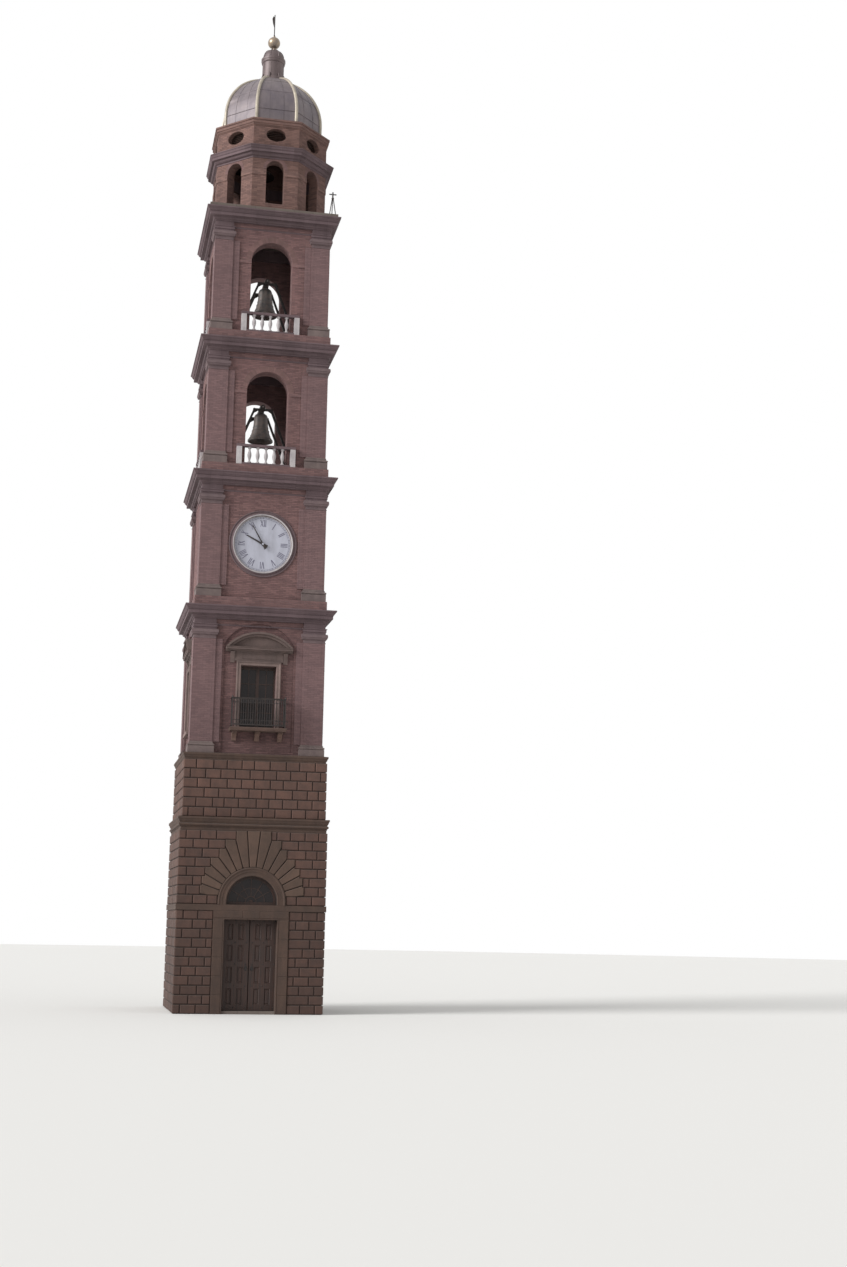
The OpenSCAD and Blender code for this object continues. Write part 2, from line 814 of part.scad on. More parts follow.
// Frieze blocks over the pilasters, a thin architrave along the wall between them, and the cornice over
// the whole side
module entablature(side_w, pilaster_w, z, room) {
    wall = side_w / 2 - pilaster_step;
    difference() {
        union() {
            difference() {
                union() {
                    four_corners(side_w, pilaster_w) translate([0, 0, z])
                        square_mass(frieze_profile, pilaster_w / 2);
                    translate([0, 0, z]) square_mass(architrave_profile, wall);
                }
                square_prism(wall, z - 1, z + frieze_h);
            }
            translate([0, 0, z + frieze_h]) square_mass(cornice_profile, side_w / 2);
        }
        square_prism(room, z - 1, z + entablature_h + 1);
    }
}

module window_cornice() {
    color(warm_brick) entablature(window_w, window_pilaster, z_window + window_h, clock_room);
}

module clock_cornice() {
    color(warm_brick) entablature(clock_w, clock_pilaster, z_clock + clock_h, lower_room - ledge);
}

module lower_belfry_cornice() {
    color(warm_brick) entablature(lower_w, lower_pilaster, z_lower + lower_h, upper_room - ledge);
}

module top_cornice() {
    color(warm_brick) entablature(upper_w, upper_pilaster, z_upper + upper_h, upper_room - ledge);
}

// Clock storey

// The pedestal course at a storey's foot, wider than the pilasters' bases over it
module pedestal(side_w, inner, z) {
    square_ring(side_w / 2 + pedestal_out, inner, z, z + pedestal_h);
}

module clock_front_back_walls() {
    z1 = z_clock + clock_h + frieze_h;
    color(brick)
    difference() {
        union() {
            for (turn = [0, 180]) {
                rotate(turn) {
                    block(-clock_half, clock_half, -clock_half, -clock_room, z_clock, z1);
                    block(-clock_w / 2 - pedestal_out, clock_w / 2 + pedestal_out,
                        -clock_w / 2 - pedestal_out, -clock_room, z_clock, z_clock + pedestal_h);
                }
            }
        }
        at_dial(-clock_half + dial_recess) cylinder(d = dial_d + 8, h = 2 * dial_recess);
    }
}

module clock_side_walls() {
    z1 = z_clock + clock_h + frieze_h;
    color(brick)
    for (turn = [90, 270]) {
        rotate(turn) {
            block(-clock_room, clock_room, -clock_half, -clock_room, z_clock, z1);
            block(-clock_room, clock_room, -clock_w / 2 - pedestal_out, -clock_room,
                z_clock, z_clock + pedestal_h);
        }
    }
}

module at_dial(y) {
    translate([0, y, z_dial]) rotate([90, 0, 0]) children();
}

// Round moulding before the wall, with a thin outer ring
module clock_frame() {
    color(stone) at_dial(-clock_half) rotate_extrude($fn = 96)
        polygon(concat([[dial_r + 4, 0]],
            [for (i = [0:6]) [dial_r + 4 + 50 * (1 - cos(15 * i)), frame_out + 14 * sin(30 * i)]],
            [[dial_r + 60, 14], [dial_r + ring_w - 28, 14]],
            [for (i = [0:6]) [dial_r + ring_w - 14 - 14 * cos(30 * i), 14 + 12 * sin(30 * i)]],
            [[dial_r + ring_w, 0]]));
}

module clock_dial() {
    color(white_stone) {
        at_dial(-clock_half + dial_recess) cylinder(d = dial_d, h = dial_t, $fn = 128);
        at_dial(dial_face) cylinder(r = arbor_r, h = dial_face - minute_y + hand_t + 4);
        at_dial(dial_face) cylinder(r = arbor_r + 14, h = dial_face - hour_y - seat_gap);
        at_dial(hour_y - hand_t - seat_gap)
            cylinder(r = arbor_r + 9, h = hour_y - hand_t - minute_y - 2 * seat_gap);
        at_dial(minute_y - hand_t - seat_gap) cylinder(r = arbor_r + 9, h = 6);
    }
}

// A tapering hand with a round eye and a counterweight, pointing up
module hand(length, root_w, tip_w, tail_l) {
    eye_r = arbor_r + 20;
    difference() {
        union() {
            linear_extrude(hand_t) polygon([[-root_w / 2, 0], [-tip_w / 2, length - tip_w], [0, length],
                [tip_w / 2, length - tip_w], [root_w / 2, 0],
                [root_w * 0.8, -tail_l], [-root_w * 0.8, -tail_l]]);
            cylinder(r = eye_r, h = hand_t);
        }
        translate([0, 0, -1]) cylinder(r = arbor_r + pin_fit, h = hand_t + 2);
    }
}

hour_angle = 297.5;
minute_angle = 330;

module hour_hand() {
    color(iron) at_dial(hour_y) rotate(-hour_angle) hand(dial_r * hour_reach, 40, 22, 110);
}

module minute_hand() {
    color(iron) at_dial(minute_y) rotate(-minute_angle) hand(dial_r * minute_reach, 32, 16, 120);
}

// Belfries

module belfry_floors() {
    color(brick) {
        square_prism(lower_room, z_lower, z_lower + floor_t);
        square_prism(upper_room, z_upper, z_upper + floor_t);
    }
}

// Four corner piers on the pedestal course, with an impost moulding at the springing that runs to the
// strips beside the pilasters
module belfry_piers(side_w, pilaster_w, half, room, z, spring) {
    impost = 66;
    band = strip_edge(side_w, pilaster_w);
    difference() {
        union() {
            square_prism(half, z, z + spring);
            four_sides() block(-band, band, -half - 16, -room, z + spring - impost, z + spring);
            pedestal(side_w, room, z);
        }
        square_prism(room, z - 1, z + spring + 1);
        for (turn = [0, 90]) {
            rotate(turn) block(-arch_w / 2, arch_w / 2, -side_w, side_w, z + pedestal_h, z + spring + 1);
        }
    }
}

module lower_belfry_piers() {
    color(brick) belfry_piers(lower_w, lower_pilaster, lower_half, lower_room, z_lower, lower_spring);
}

module upper_belfry_piers() {
    color(brick) belfry_piers(upper_w, upper_pilaster, upper_half, upper_room, z_upper, upper_spring);
}

module belfry_arches(half, room, z, spring, top) {
    difference() {
        square_ring(half, room, z + spring, top);
        for (turn = [0, 90]) {
            rotate(turn) upright(-half - 1, half + 1) translate([0, z + spring]) circle(d = arch_w, $fn = 96);
        }
    }
}

module lower_belfry_arches() {
    color(brick) belfry_arches(lower_half, lower_room, z_lower, lower_spring, z_lower + lower_h + frieze_h);
}

module upper_belfry_arches() {
    color(brick) belfry_arches(upper_half, upper_room, z_upper, upper_spring, z_upper + upper_h + frieze_h);
}

// A turned baluster, widest in the middle
module baluster(h) {
    block_h = 22;
    neck = 20;
    belly = 23;
    rotate_extrude($fn = 24) polygon(concat([[0, 0], [40, 0], [40, block_h]],
        [for (i = [0:12]) [neck + belly * pow(sin(15 * i), 2), 2 * block_h + (h - 4 * block_h) * i / 12]],
        [[40, h - block_h], [40, h], [0, h]]));
}

rail_low = 36;
rail_high = 56;
balustrade_depth = pilaster_step + pedestal_out - balustrade_gap;
post_x = 2 * baluster_pitch + 222;
post_w = 110;

// Puts a balustrade on the four sides of both belfries, with its back face at y = 0
module at_balustrades() {
    for (level = [[z_lower, lower_half], [z_upper, upper_half]], turn = [0:90:270]) {
        rotate(turn) translate([0, -level[1] - balustrade_gap, level[0] + pedestal_h]) children();
    }
}

module belfry_balusters() {
    top = balustrade_h - rail_high;
    color(white_stone) at_balustrades() {
        for (i = [-2:2]) {
            translate([i * baluster_pitch, -balustrade_depth / 2, rail_low]) baluster(top - rail_low);
        }
        for (x = [-post_x, post_x]) {
            block(x - post_w / 2, x + post_w / 2, -balustrade_depth, 0, 0, top);
        }
    }
}

module balustrade_rails() {
    end = post_x - post_w / 2;
    color(stone) at_balustrades() {
        block(-end, end, -balustrade_depth, 0, 0, rail_low);
        block(-end - post_w, end + post_w, -balustrade_depth, 0, balustrade_h - rail_high, balustrade_h);
    }
}

// A bar of square section between two points in the plane of a frame
module strut(a, b, w, y0, y1) {
    length = norm(b - a);
    angle = atan2(b[1] - a[1], b[0] - a[0]);
    upright(y0, y1) translate(a) rotate(angle) translate([-w / 2, -w / 2]) square([length + w, w]);
}

// Two trapezoid trestles of iron bar, joined at the foot, with a bearing on top of each
module bell_frame(z_floor, z_axis, room) {
    foot = [room - frame_clear - frame_bar / 2, z_floor + frame_bar / 2];
    top = [frame_top, z_axis - bearing_r - frame_bar / 2];
    for (side = [-1, 1]) {
        y0 = side * frame_depth - frame_bar / 2;
        y1 = side * frame_depth + frame_bar / 2;
        for (lean = [-1, 1]) {
            strut([lean * foot[0], z_floor + frame_bar * 0.7], [lean * top[0], top[1]], frame_bar, y0, y1);
        }
        strut([-foot[0], foot[1]], [foot[0], foot[1]], frame_bar, y0, y1);
        strut([-top[0], top[1]], [top[0], top[1]], frame_bar, y0, y1);
        difference() {
            union() {
                block(-bearing_r, bearing_r, y0, y1, top[1], z_axis);
                translate([0, y1, z_axis]) rotate([90, 0, 0]) cylinder(r = bearing_r, h = frame_bar);
            }
            translate([0, y1 + 1, z_axis]) rotate([90, 0, 0])
                cylinder(r = trunnion_r + pin_fit, h = frame_bar + 2);
        }
    }
    for (lean = [-1, 1]) {
        block(lean * foot[0] - frame_bar / 2, lean * foot[0] + frame_bar / 2,
            -frame_depth, frame_depth, z_floor, z_floor + frame_bar);
    }
}

module bell_frames() {
    color(iron) {
        bell_frame(z_lower + floor_t, z_lower_axis, lower_room);
        bell_frame(z_upper + floor_t, z_upper_axis, upper_room);
    }
}

// The bell's wall in section, from the lip up the outside and down the inside
bell_wall = 34;
function bell_outside(r, h) = concat(
    [[r, 0], [r, 16]],
    [for (i = [0:8]) [r * (0.56 + 0.38 * pow(1 - i / 8, 2.2)), 30 + (h * 0.74) * i / 8]],
    [[r * 0.55, h * 0.86], [r * 0.48, h * 0.94], [r * 0.3, h], [0, h]]);
function bell_inside(r, h) = concat(
    [[0, h - bell_wall], [r * 0.28, h - bell_wall], [r * 0.42, h * 0.9]],
    [for (i = [8:-1:0]) [r * (0.56 + 0.38 * pow(1 - i / 8, 2.2)) - bell_wall, 30 + (h * 0.74) * i / 8]],
    [[r - 14, 0]]);

// A hollow bell on a yoke whose trunnions turn in the frame's bearings. Inside its crown a pin in two
// lugs carries the clapper.
module bell(z_axis) {
    top = z_axis - yoke_r - crown_gap;
    r = bell_d / 2;
    lug_t = 14;
    translate([0, 0, top - bell_h]) rotate_extrude($fn = 48)
        polygon(concat(bell_outside(r, bell_h), bell_inside(r, bell_h)));
    for (x = [-1, 1]) {
        translate([x * 46, 0, top - 14]) cylinder(r = 16, h = crown_gap + yoke_r);
    }
    reach = frame_depth - frame_bar / 2 - 8;
    block(-60, 60, -reach, reach, z_axis - yoke_r, z_axis + yoke_r);
    translate([0, frame_depth + frame_bar / 2 + 6, z_axis]) rotate([90, 0, 0])
        cylinder(r = trunnion_r, h = 2 * frame_depth + frame_bar + 12);
    for (y = [-clapper_eye - 3 - lug_t, clapper_eye + 3]) {
        block(-16, 16, y, y + lug_t, top - bell_wall - clapper_drop - 14, top - bell_wall + 6);
    }
    translate([0, clapper_eye + 6, top - bell_wall - clapper_drop]) rotate([90, 0, 0])
        cylinder(r = clapper_pin, h = 2 * clapper_eye + 12);
}

module lower_bell() {
    color(bronze) bell(z_lower_axis);
}

module upper_bell() {
    color(bronze) bell(z_upper_axis);
}

// An eye on the bell's inner pin, a rod and a ball
module clapper(z_axis) {
    hang = z_axis - yoke_r - crown_gap - bell_wall - clapper_drop;
    rod = bell_h * 0.72;
    difference() {
        union() {
            translate([0, clapper_eye, hang]) rotate([90, 0, 0])
                cylinder(r = clapper_pin + 12, h = 2 * clapper_eye);
            translate([0, 0, hang - rod]) cylinder(r = 12, h = rod - clapper_pin - 2);
        }
        translate([0, clapper_eye + 1, hang]) rotate([90, 0, 0])
            cylinder(r = clapper_pin + pin_fit, h = 2 * clapper_eye + 2);
    }
    translate([0, 0, hang - rod]) sphere(r = 38);
}

module lower_clapper() {
    color(iron) clapper(z_lower_axis);
}

module upper_clapper() {
    color(iron) clapper(z_upper_axis);
}

// Terrace and drum

module terrace_floor() {
    color(stone) square_prism(upper_w / 2 + cornice_out - 60, z_terrace, z_terrace + floor_t);
}

// Three iron legs that carry a short post with a crossbar, near the terrace's right corner
module terrace_mast() {
    foot = upper_w / 2 + 28;
    spread = 80;
    leg_h = mast_h * 0.8;
    z = z_terrace + floor_t;
    color(iron) translate([foot, -foot, z]) {
        for (turn = [90:120:330]) {
            rotate(turn) translate([spread, 0, 0]) {
                cylinder(r = 18, h = 8);
                translate([0, 0, 4]) rotate([0, -atan2(spread - 6, leg_h), 0]) cylinder(r = 10, h = leg_h);
            }
        }
        translate([0, 0, mast_h * 0.72]) cylinder(r = 16, h = mast_h * 0.28);
        translate([0, 0, mast_h * 0.72]) cylinder(r = 28, h = 20);
        block(-80, 80, -8, 8, mast_h - 60, mast_h - 40);
    }
}

drum_half = drum_w / 2;
drum_spring = drum_h - 235;
plinth_out = 38;

// Plinth, wall with an impost band, and one arched window a face
module drum_walls() {
    room = drum_half - drum_wall;
    z0 = z_terrace + floor_t;
    color(warm_brick)
    difference() {
        union() {
            octagon_prism(drum_half + plinth_out, z0, z_drum);
            octagon_prism(drum_half, z_drum, z_attic);
            octagon_prism(drum_half + 16, z_drum + drum_spring - 150, z_drum + drum_spring - 20);
        }
        octagon_prism(room, z0 - 1, z_attic + 1);
        for (turn = [0:45:315]) {
            rotate(turn) upright(-drum_half - plinth_out + 8, 60 - room)
                arch_shape(drum_opening, z_drum, z_drum + drum_spring);
        }
    }
}

drum_cornice_h = 250;
attic_cornice_h = 160;
oculus_up = 66;
drum_cornice_profile = concat([[0, 0], [16, 0], [16, 36]], ovolo([22, 40], [78, 108]),
    [[128, 114], [128, 168]], ogee([136, 172], [168, 230]), [[172, 232], [172, drum_cornice_h]]);
attic_cornice_profile = concat([[0, 0], [10, 0]], ovolo([12, 12], [36, 50]),
    [[52, 56], [52, attic_cornice_h - 40], [70, attic_cornice_h - 36], [70, attic_cornice_h]]);

function oval(w, h, points = 32) = [for (i = [0:points - 1]) let (turn = 360 * i / points)
    [w / 2 * cos(turn), h / 2 * sin(turn)]];

module drum_cornice() {
    color(warm_brick) difference() {
        translate([0, 0, z_attic]) octagon_mass(drum_cornice_profile, drum_half);
        octagon_prism(drum_half - drum_wall, z_attic - 1, z_attic + drum_cornice_h + 1);
    }
}

// The low attic with an oval opening a face, and the thin cornice that the dome stands on
module drum_attic() {
    room = drum_half - drum_wall;
    foot = z_attic + drum_cornice_h;
    z_oculus = (foot + z_dome - attic_cornice_h) / 2 + oculus_up;
    color(warm_brick) difference() {
        union() {
            octagon_prism(drum_half, foot, z_dome - attic_cornice_h + 1);
            translate([0, 0, z_dome - attic_cornice_h]) octagon_mass(attic_cornice_profile, drum_half);
        }
        octagon_prism(room, foot - 1, z_dome + 1);
        for (turn = [0:45:315]) {
            rotate(turn) upright(-drum_half - ledge, ledge - room)
                translate([0, z_oculus]) polygon(oval(oculus_w, oculus_h));
        }
    }
}

// Dome

dome_t = 60;
rib_w = 64;
rib_out = 30;
arc_steps = 17;

// Half of the dome's outline: an upright skirt, then flats round an oval up to the lantern's seat
function dome_outline(r) = concat([[r, 0]], [for (i = [0:arc_steps])
    let (turn = acos(lantern_seat / r) * i / arc_steps)
    [r * cos(turn), skirt_h + (dome_rise + r - dome_w / 2) * sin(turn)]]);

// Four barrels of one outline that cross in the middle, as an eight-sided dome does
module octagon_vault(r, foot) {
    profile = concat([[r, foot]], dome_outline(r));
    translate([0, 0, z_dome]) intersection() {
        for_barrel(r) polygon(both_sides(profile, 0));
        rotate(45) for_barrel(r) polygon(both_sides(profile, 0));
        rotate(90) for_barrel(r) polygon(both_sides(profile, 0));
        rotate(135) for_barrel(r) polygon(both_sides(profile, 0));
    }
}

module for_barrel(r) {
    rotate([90, 0, 0]) linear_extrude(2 * r + 400, center = true) children();
}

module dome() {
    color(lead) difference() {
        octagon_vault(dome_w / 2, 0);
        octagon_vault(dome_w / 2 - dome_t, -1);
    }
}

module dome_ribs() {
    reach = dome_w / 2 + rib_out + 100;
    height = skirt_h + dome_rise + 2 * rib_out;
    color(lead) intersection() {
        difference() {
            octagon_vault(dome_w / 2 + rib_out, 0);
            octagon_vault(dome_w / 2, -1);
        }
        difference() {
            union() {
                for (turn = [22.5:45:157.5]) {
                    rotate(turn) translate([-reach, -rib_w / 2, z_dome]) cube([2 * reach, rib_w, height]);
                }
            }
            translate([0, 0, z_dome - 1]) cylinder(r = lantern_seat + 20, h = height + 2);
        }
    }
}

// Turned base, drum, wide cap and small dome
module lantern() {
    r = lantern_r;
    h = lantern_h;
    color(lead) translate([0, 0, z_crown]) rotate_extrude($fn = 64)
        polygon(concat([[0, 0], [r + 56, 0], [r + 56, 44], [r + 30, 62], [r + 22, 96], [r + 4, 112], [r, 126]],
            [[r, h * 0.54]], ovolo([r + 2, h * 0.56], [r + 24, h * 0.63]),
            [[r + 30, h * 0.64], [r + 30, h * 0.7], [r + 4, h * 0.72]],
            [for (i = [0:8]) [40 + (r - 44) * cos(11.25 * i), h * (0.73 + 0.26 * sin(11.25 * i))]],
            [[52, h], [52, h + 12], [30, h + knob_h], [0, h + knob_h]]));
}

// The gilded ball, with a neck under it and a flat boss on top for the rod
module finial() {
    z0 = z_crown + lantern_h + knob_h;
    color(gilt) {
        translate([0, 0, z0]) cylinder(r = 26, h = z_ball - z0);
        translate([0, 0, z_ball]) sphere(d = ball_d, $fn = 48);
        translate([0, 0, z_ball]) cylinder(r = boss_r, h = ball_d / 2 + boss_h);
    }
}

// The iron rod over the ball, with a foot and a narrow vane on one side of its upper half
module finial_rod() {
    rod_r = 11;
    vane_w = 58;
    vane_t = 6;
    vane_low = rod_l * 0.36;
    color(iron) translate([0, 0, z_ball + ball_d / 2 + boss_h]) {
        cylinder(r1 = boss_r - 4, r2 = rod_r, h = 50, $fn = 32);
        cylinder(r = rod_r, h = rod_l - boss_h);
        upright(-vane_t / 2, vane_t / 2) polygon([[0, vane_low], [0, rod_l - 60], [-vane_w * 0.6, rod_l - 50],
            [-vane_w, rod_l - 110], [-vane_w * 0.7, rod_l * 0.6]]);
    }
}

hall_floor();
front_wall_piers();
front_wall_arch();
side_walls();
back_wall();
portal_frame();
portal_arch();
door_hinges();
left_door_leaf();
right_door_leaf();
windows();
base_mouldings();
second_storey_walls();
window_storey_floor();
window_front_back_walls();
window_side_walls();
window_surrounds();
balcony();
balcony_parapet();
window_cornice();
clock_front_back_walls();
clock_side_walls();
clock_frame();
clock_dial();
hour_hand();
minute_hand();
clock_cornice();
corner_pilasters();
pilaster_bases();
pilaster_capitals();
belfry_floors();
lower_belfry_piers();
lower_belfry_arches();
belfry_balusters();
balustrade_rails();
bell_frames();
lower_bell();
lower_clapper();
lower_belfry_cornice();
upper_belfry_piers();
upper_belfry_arches();
upper_bell();
upper_clapper();
top_cornice();
terrace_floor();
drum_walls();
drum_cornice();
drum_attic();
dome();
dome_ribs();
lantern();
finial();
finial_rod();
terrace_mast();
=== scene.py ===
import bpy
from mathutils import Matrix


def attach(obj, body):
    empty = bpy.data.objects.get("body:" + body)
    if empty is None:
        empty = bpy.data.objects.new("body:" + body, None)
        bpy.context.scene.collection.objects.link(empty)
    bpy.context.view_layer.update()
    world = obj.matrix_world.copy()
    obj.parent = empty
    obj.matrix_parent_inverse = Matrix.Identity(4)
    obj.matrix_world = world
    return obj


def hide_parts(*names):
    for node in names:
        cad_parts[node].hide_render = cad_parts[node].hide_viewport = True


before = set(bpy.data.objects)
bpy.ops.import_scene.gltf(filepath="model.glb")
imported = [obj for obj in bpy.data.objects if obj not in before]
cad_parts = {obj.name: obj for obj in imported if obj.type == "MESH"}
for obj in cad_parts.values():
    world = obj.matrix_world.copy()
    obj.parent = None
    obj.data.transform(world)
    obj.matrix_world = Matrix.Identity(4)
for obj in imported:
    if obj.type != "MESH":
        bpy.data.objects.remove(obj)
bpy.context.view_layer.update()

import math
import random

import bmesh
import bpy
from mathutils import Matrix, Vector

print("stage: camera, light and floor")

scene = bpy.context.scene
scene.view_settings.view_transform = "Standard"
fourSides, eightSides = (0, 90, 180, 270), tuple(range(0, 360, 45))

camera = {"place": (-3.828, -36.93, 1.833), "turn": 11.64, "lift": 9.62, "roll": 1.05, "lens": 48.9,
          "sensor": 36, "clip": (0.5, 500)}


def makeCamera():
    # turned to the right of the y axis, lifted over the level, and rolled, in degrees
    turn, lift, roll = (math.radians(camera[k]) for k in ("turn", "lift", "roll"))
    ahead = Vector((math.sin(turn) * math.cos(lift), math.cos(turn) * math.cos(lift), math.sin(lift)))
    flatRight = Vector((math.cos(turn), -math.sin(turn), 0))
    flatUp = flatRight.cross(ahead)
    right = flatRight * math.cos(roll) + flatUp * math.sin(roll)
    up = flatUp * math.cos(roll) - flatRight * math.sin(roll)
    data = bpy.data.cameras.new("camera")
    data.lens, data.sensor_width = camera["lens"], camera["sensor"]
    data.clip_start, data.clip_end = camera["clip"]
    seen = bpy.data.objects.new("camera", data)
    turned = Matrix((right, up, -ahead)).transposed().to_4x4()
    seen.matrix_world = Matrix.Translation(camera["place"]) @ turned
    scene.collection.objects.link(seen)
    scene.camera = seen


def paint(colour):
    # a colour as it is read off a screen, 0 to 255, as Blender's linear values
    shares = [c / 255 for c in colour]
    return (*(c / 12.92 if c <= 0.04045 else ((c + 0.055) / 1.055) ** 2.4 for c in shares), 1)


class Graph:
    # short ways to lay and join nodes in one tree

    def __init__(self, tree):
        self.tree = tree

    def add(self, kind, values=None, **settings):
        made = self.tree.nodes.new(kind)
        for name, value in settings.items():
            setattr(made, name, value)
        for name, value in (values or {}).items():
            socket = made.inputs[name]
            if isinstance(value, bpy.types.NodeSocket):
                self.tree.links.new(value, socket)
            else:
                socket.default_value = value
        return made

    def math(self, how, first, second=0.0):
        return self.add("ShaderNodeMath", {0: first, 1: second}, operation=how).outputs[0]

    def times(self, first, second):
        return self.math("MULTIPLY", first, second)

    def vector(self, how, first, second, out="Vector"):
        return self.add("ShaderNodeVectorMath", {0: first, 1: second}, operation=how).outputs[out]

    def span(self, value, low, high, least, most):
        return self.add("ShaderNodeMapRange", {"Value": value, "From Min": low, "From Max": high,
                                               "To Min": least, "To Max": most}).outputs["Result"]

    def mix(self, share, first, second, how="MIX"):
        return self.add("ShaderNodeMix", {0: share, 6: first, 7: second}, data_type="RGBA",
                        blend_type=how).outputs[2]

    def shade(self, colour, amount):
        # the colour times a grey amount
        grey = self.add("ShaderNodeCombineColor", {0: amount, 1: amount, 2: amount}).outputs[0]
        return self.mix(1.0, colour, grey, "MULTIPLY")

    def noise(self, place, scale, detail=3.0, rough=0.55):
        return self.add("ShaderNodeTexNoise", {"Vector": place, "Scale": scale, "Detail": detail,
                                               "Roughness": rough}).outputs["Fac"]

    def named(self, name):
        return self.add("GeometryNodeInputNamedAttribute", {"Name": name},
                        data_type="FLOAT_VECTOR").outputs[0]

    def height(self, vector):
        return self.add("ShaderNodeSeparateXYZ", {0: vector}).outputs["Z"]

    def normal(self):
        return self.add("ShaderNodeNewGeometry").outputs["True Normal"]


light = {"sky": 0.57, "sun": 3.5, "sunFrom": (-0.92, -0.34, 0.42), "sunSpread": 28}


def makeLight():
    world = bpy.data.worlds.new("studio")
    scene.world = world
    world.use_nodes = True
    world.node_tree.nodes.clear()
    g = Graph(world.node_tree)
    path = g.add("ShaderNodeLightPath").outputs
    seen = g.math("MAXIMUM", path["Is Camera Ray"], path["Is Glossy Ray"])
    seen = g.math("MAXIMUM", seen, path["Is Transmission Ray"])
    strength = g.span(seen, 0, 1, light["sky"], 1.0)
    sky = g.add("ShaderNodeBackground", {"Color": (1, 1, 1, 1), "Strength": strength})
    g.add("ShaderNodeOutputWorld", {"Surface": sky.outputs[0]})
    data = bpy.data.lights.new("softSun", "SUN")
    data.energy, data.angle = light["sun"], math.radians(light["sunSpread"])
    sun = bpy.data.objects.new("softSun", data)
    sun.rotation_mode = "QUATERNION"
    sun.rotation_quaternion = Vector(light["sunFrom"]).to_track_quat("Z", "Y")
    scene.collection.objects.link(sun)


def ringPoints(count, across, high, shift=0.0):
    # points round a circle or an oval
    turns = [math.tau * (i + shift) / count for i in range(count)]
    return [(across * math.cos(t), high * math.sin(t)) for t in turns]


ground = {"reach": 90, "sides": 48, "sunk": -0.002, "colour": (232, 231, 228), "rough": 0.9}


def makeFloor():
    d = ground
    ring = [(x, y, d["sunk"]) for x, y in ringPoints(d["sides"], d["reach"], d["reach"])]
    mesh = bpy.data.meshes.new("floor")
    mesh.from_pydata(ring, [], [list(range(d["sides"]))])
    floor = bpy.data.objects.new("floor", mesh)
    scene.collection.objects.link(floor)
    material = bpy.data.materials.new("floorPaint")
    material.use_nodes = True
    skin = material.node_tree.nodes["Principled BSDF"].inputs
    skin["Base Color"].default_value, skin["Roughness"].default_value = paint(d["colour"]), d["rough"]
    mesh.materials.append(material)


makeCamera()
makeLight()
makeFloor()

print("stage: materials")


def makeWallPlace():
    # how far along the face and how high, the same way round on every side; level faces read x and y
    tree = bpy.data.node_groups.new("wallPlace", "ShaderNodeTree")
    tree.interface.new_socket("Place", in_out="OUTPUT", socket_type="NodeSocketVector")
    g = Graph(tree)
    point = g.add("ShaderNodeTexCoord").outputs["Object"]
    normal = g.normal()
    along = g.vector("NORMALIZE", g.vector("CROSS_PRODUCT", (0, 0, 1), normal), (0, 0, 0))
    across = g.vector("DOT_PRODUCT", point, along, "Value")
    upright = g.add("ShaderNodeCombineXYZ", {"X": across, "Y": g.height(point)}).outputs[0]
    level = g.math("GREATER_THAN", g.math("ABSOLUTE", g.height(normal)), plainBrick["level"])
    out = g.add("ShaderNodeMix", {0: level, 4: upright, 5: point}, data_type="VECTOR").outputs[1]
    g.add("NodeGroupOutput", {"Place": out})
    return tree


def newMaterial(name):
    material = bpy.data.materials.new(name)
    material.use_nodes = True
    material.node_tree.nodes.clear()
    g = Graph(material.node_tree)
    return material, g, g.add("ShaderNodeTexCoord").outputs["Object"]


def finishMaterial(g, colour, height, look):
    bump = g.add("ShaderNodeBump", {"Height": height, "Distance": look["relief"], "Strength": 1.0})
    skin = g.add("ShaderNodeBsdfPrincipled", {
        "Base Color": colour, "Normal": bump.outputs[0], "Roughness": look["rough"],
        "Metallic": look.get("metal", 0.0), "Specular IOR Level": look.get("gloss", 0.5)})
    g.add("ShaderNodeOutputMaterial", {"Surface": skin.outputs[0]})


# defaults for the wear and the painted shade; foot and head say how dark the painted shade is at the bottom
# and at the top
wearAndShade = {"patches": 0.1, "streaks": 0.1, "grain": 0.06, "soot": 0.5, "foot": 1.0, "footLow": 4.0,
        "footHigh": 9.5, "head": 1.0, "headLow": 5.0, "headHigh": 9.0, "patchScale": 0.8,
        "streakStretch": (5.0, 5.0, 0.5), "grainScale": 160, "ledge": (0.4, 0.9), "sootColour": (96, 88, 82)}


def weatherAndShade(g, colour, point, given):
    # patches, streaks that run down and soot on ledges, which are wear, and painted shade that darkens a foot
    # or a head
    look = {**wearAndShade, **given}
    patches, streaks, grain = look["patches"], look["streaks"], look["grain"]
    patches = g.span(g.noise(point, look["patchScale"], 5), 0.3, 0.7, 1 - patches, 1 + patches)
    runs = g.noise(g.vector("MULTIPLY", point, look["streakStretch"]), 1.0, 4, 0.65)
    streaks = g.span(runs, 0.35, 0.7, 1 + streaks, 1 - streaks)
    grain = g.span(g.noise(point, look["grainScale"], 2), 0.3, 0.7, 1 - grain, 1 + grain)
    colour = g.shade(colour, g.times(g.times(patches, streaks), grain))
    # painted shade: darker from footHigh down to footLow, and darker from headLow up to headHigh
    rise = g.height(point)
    foot = g.span(rise, look["footLow"], look["footHigh"], look["foot"], 1.0)
    head = g.span(rise, look["headLow"], look["headHigh"], 1.0, look["head"])
    colour = g.shade(colour, g.times(foot, head))
    ledge = g.span(g.height(g.normal()), *look["ledge"], 0.0, look["soot"])
    return g.mix(ledge, colour, paint(look["sootColour"]))


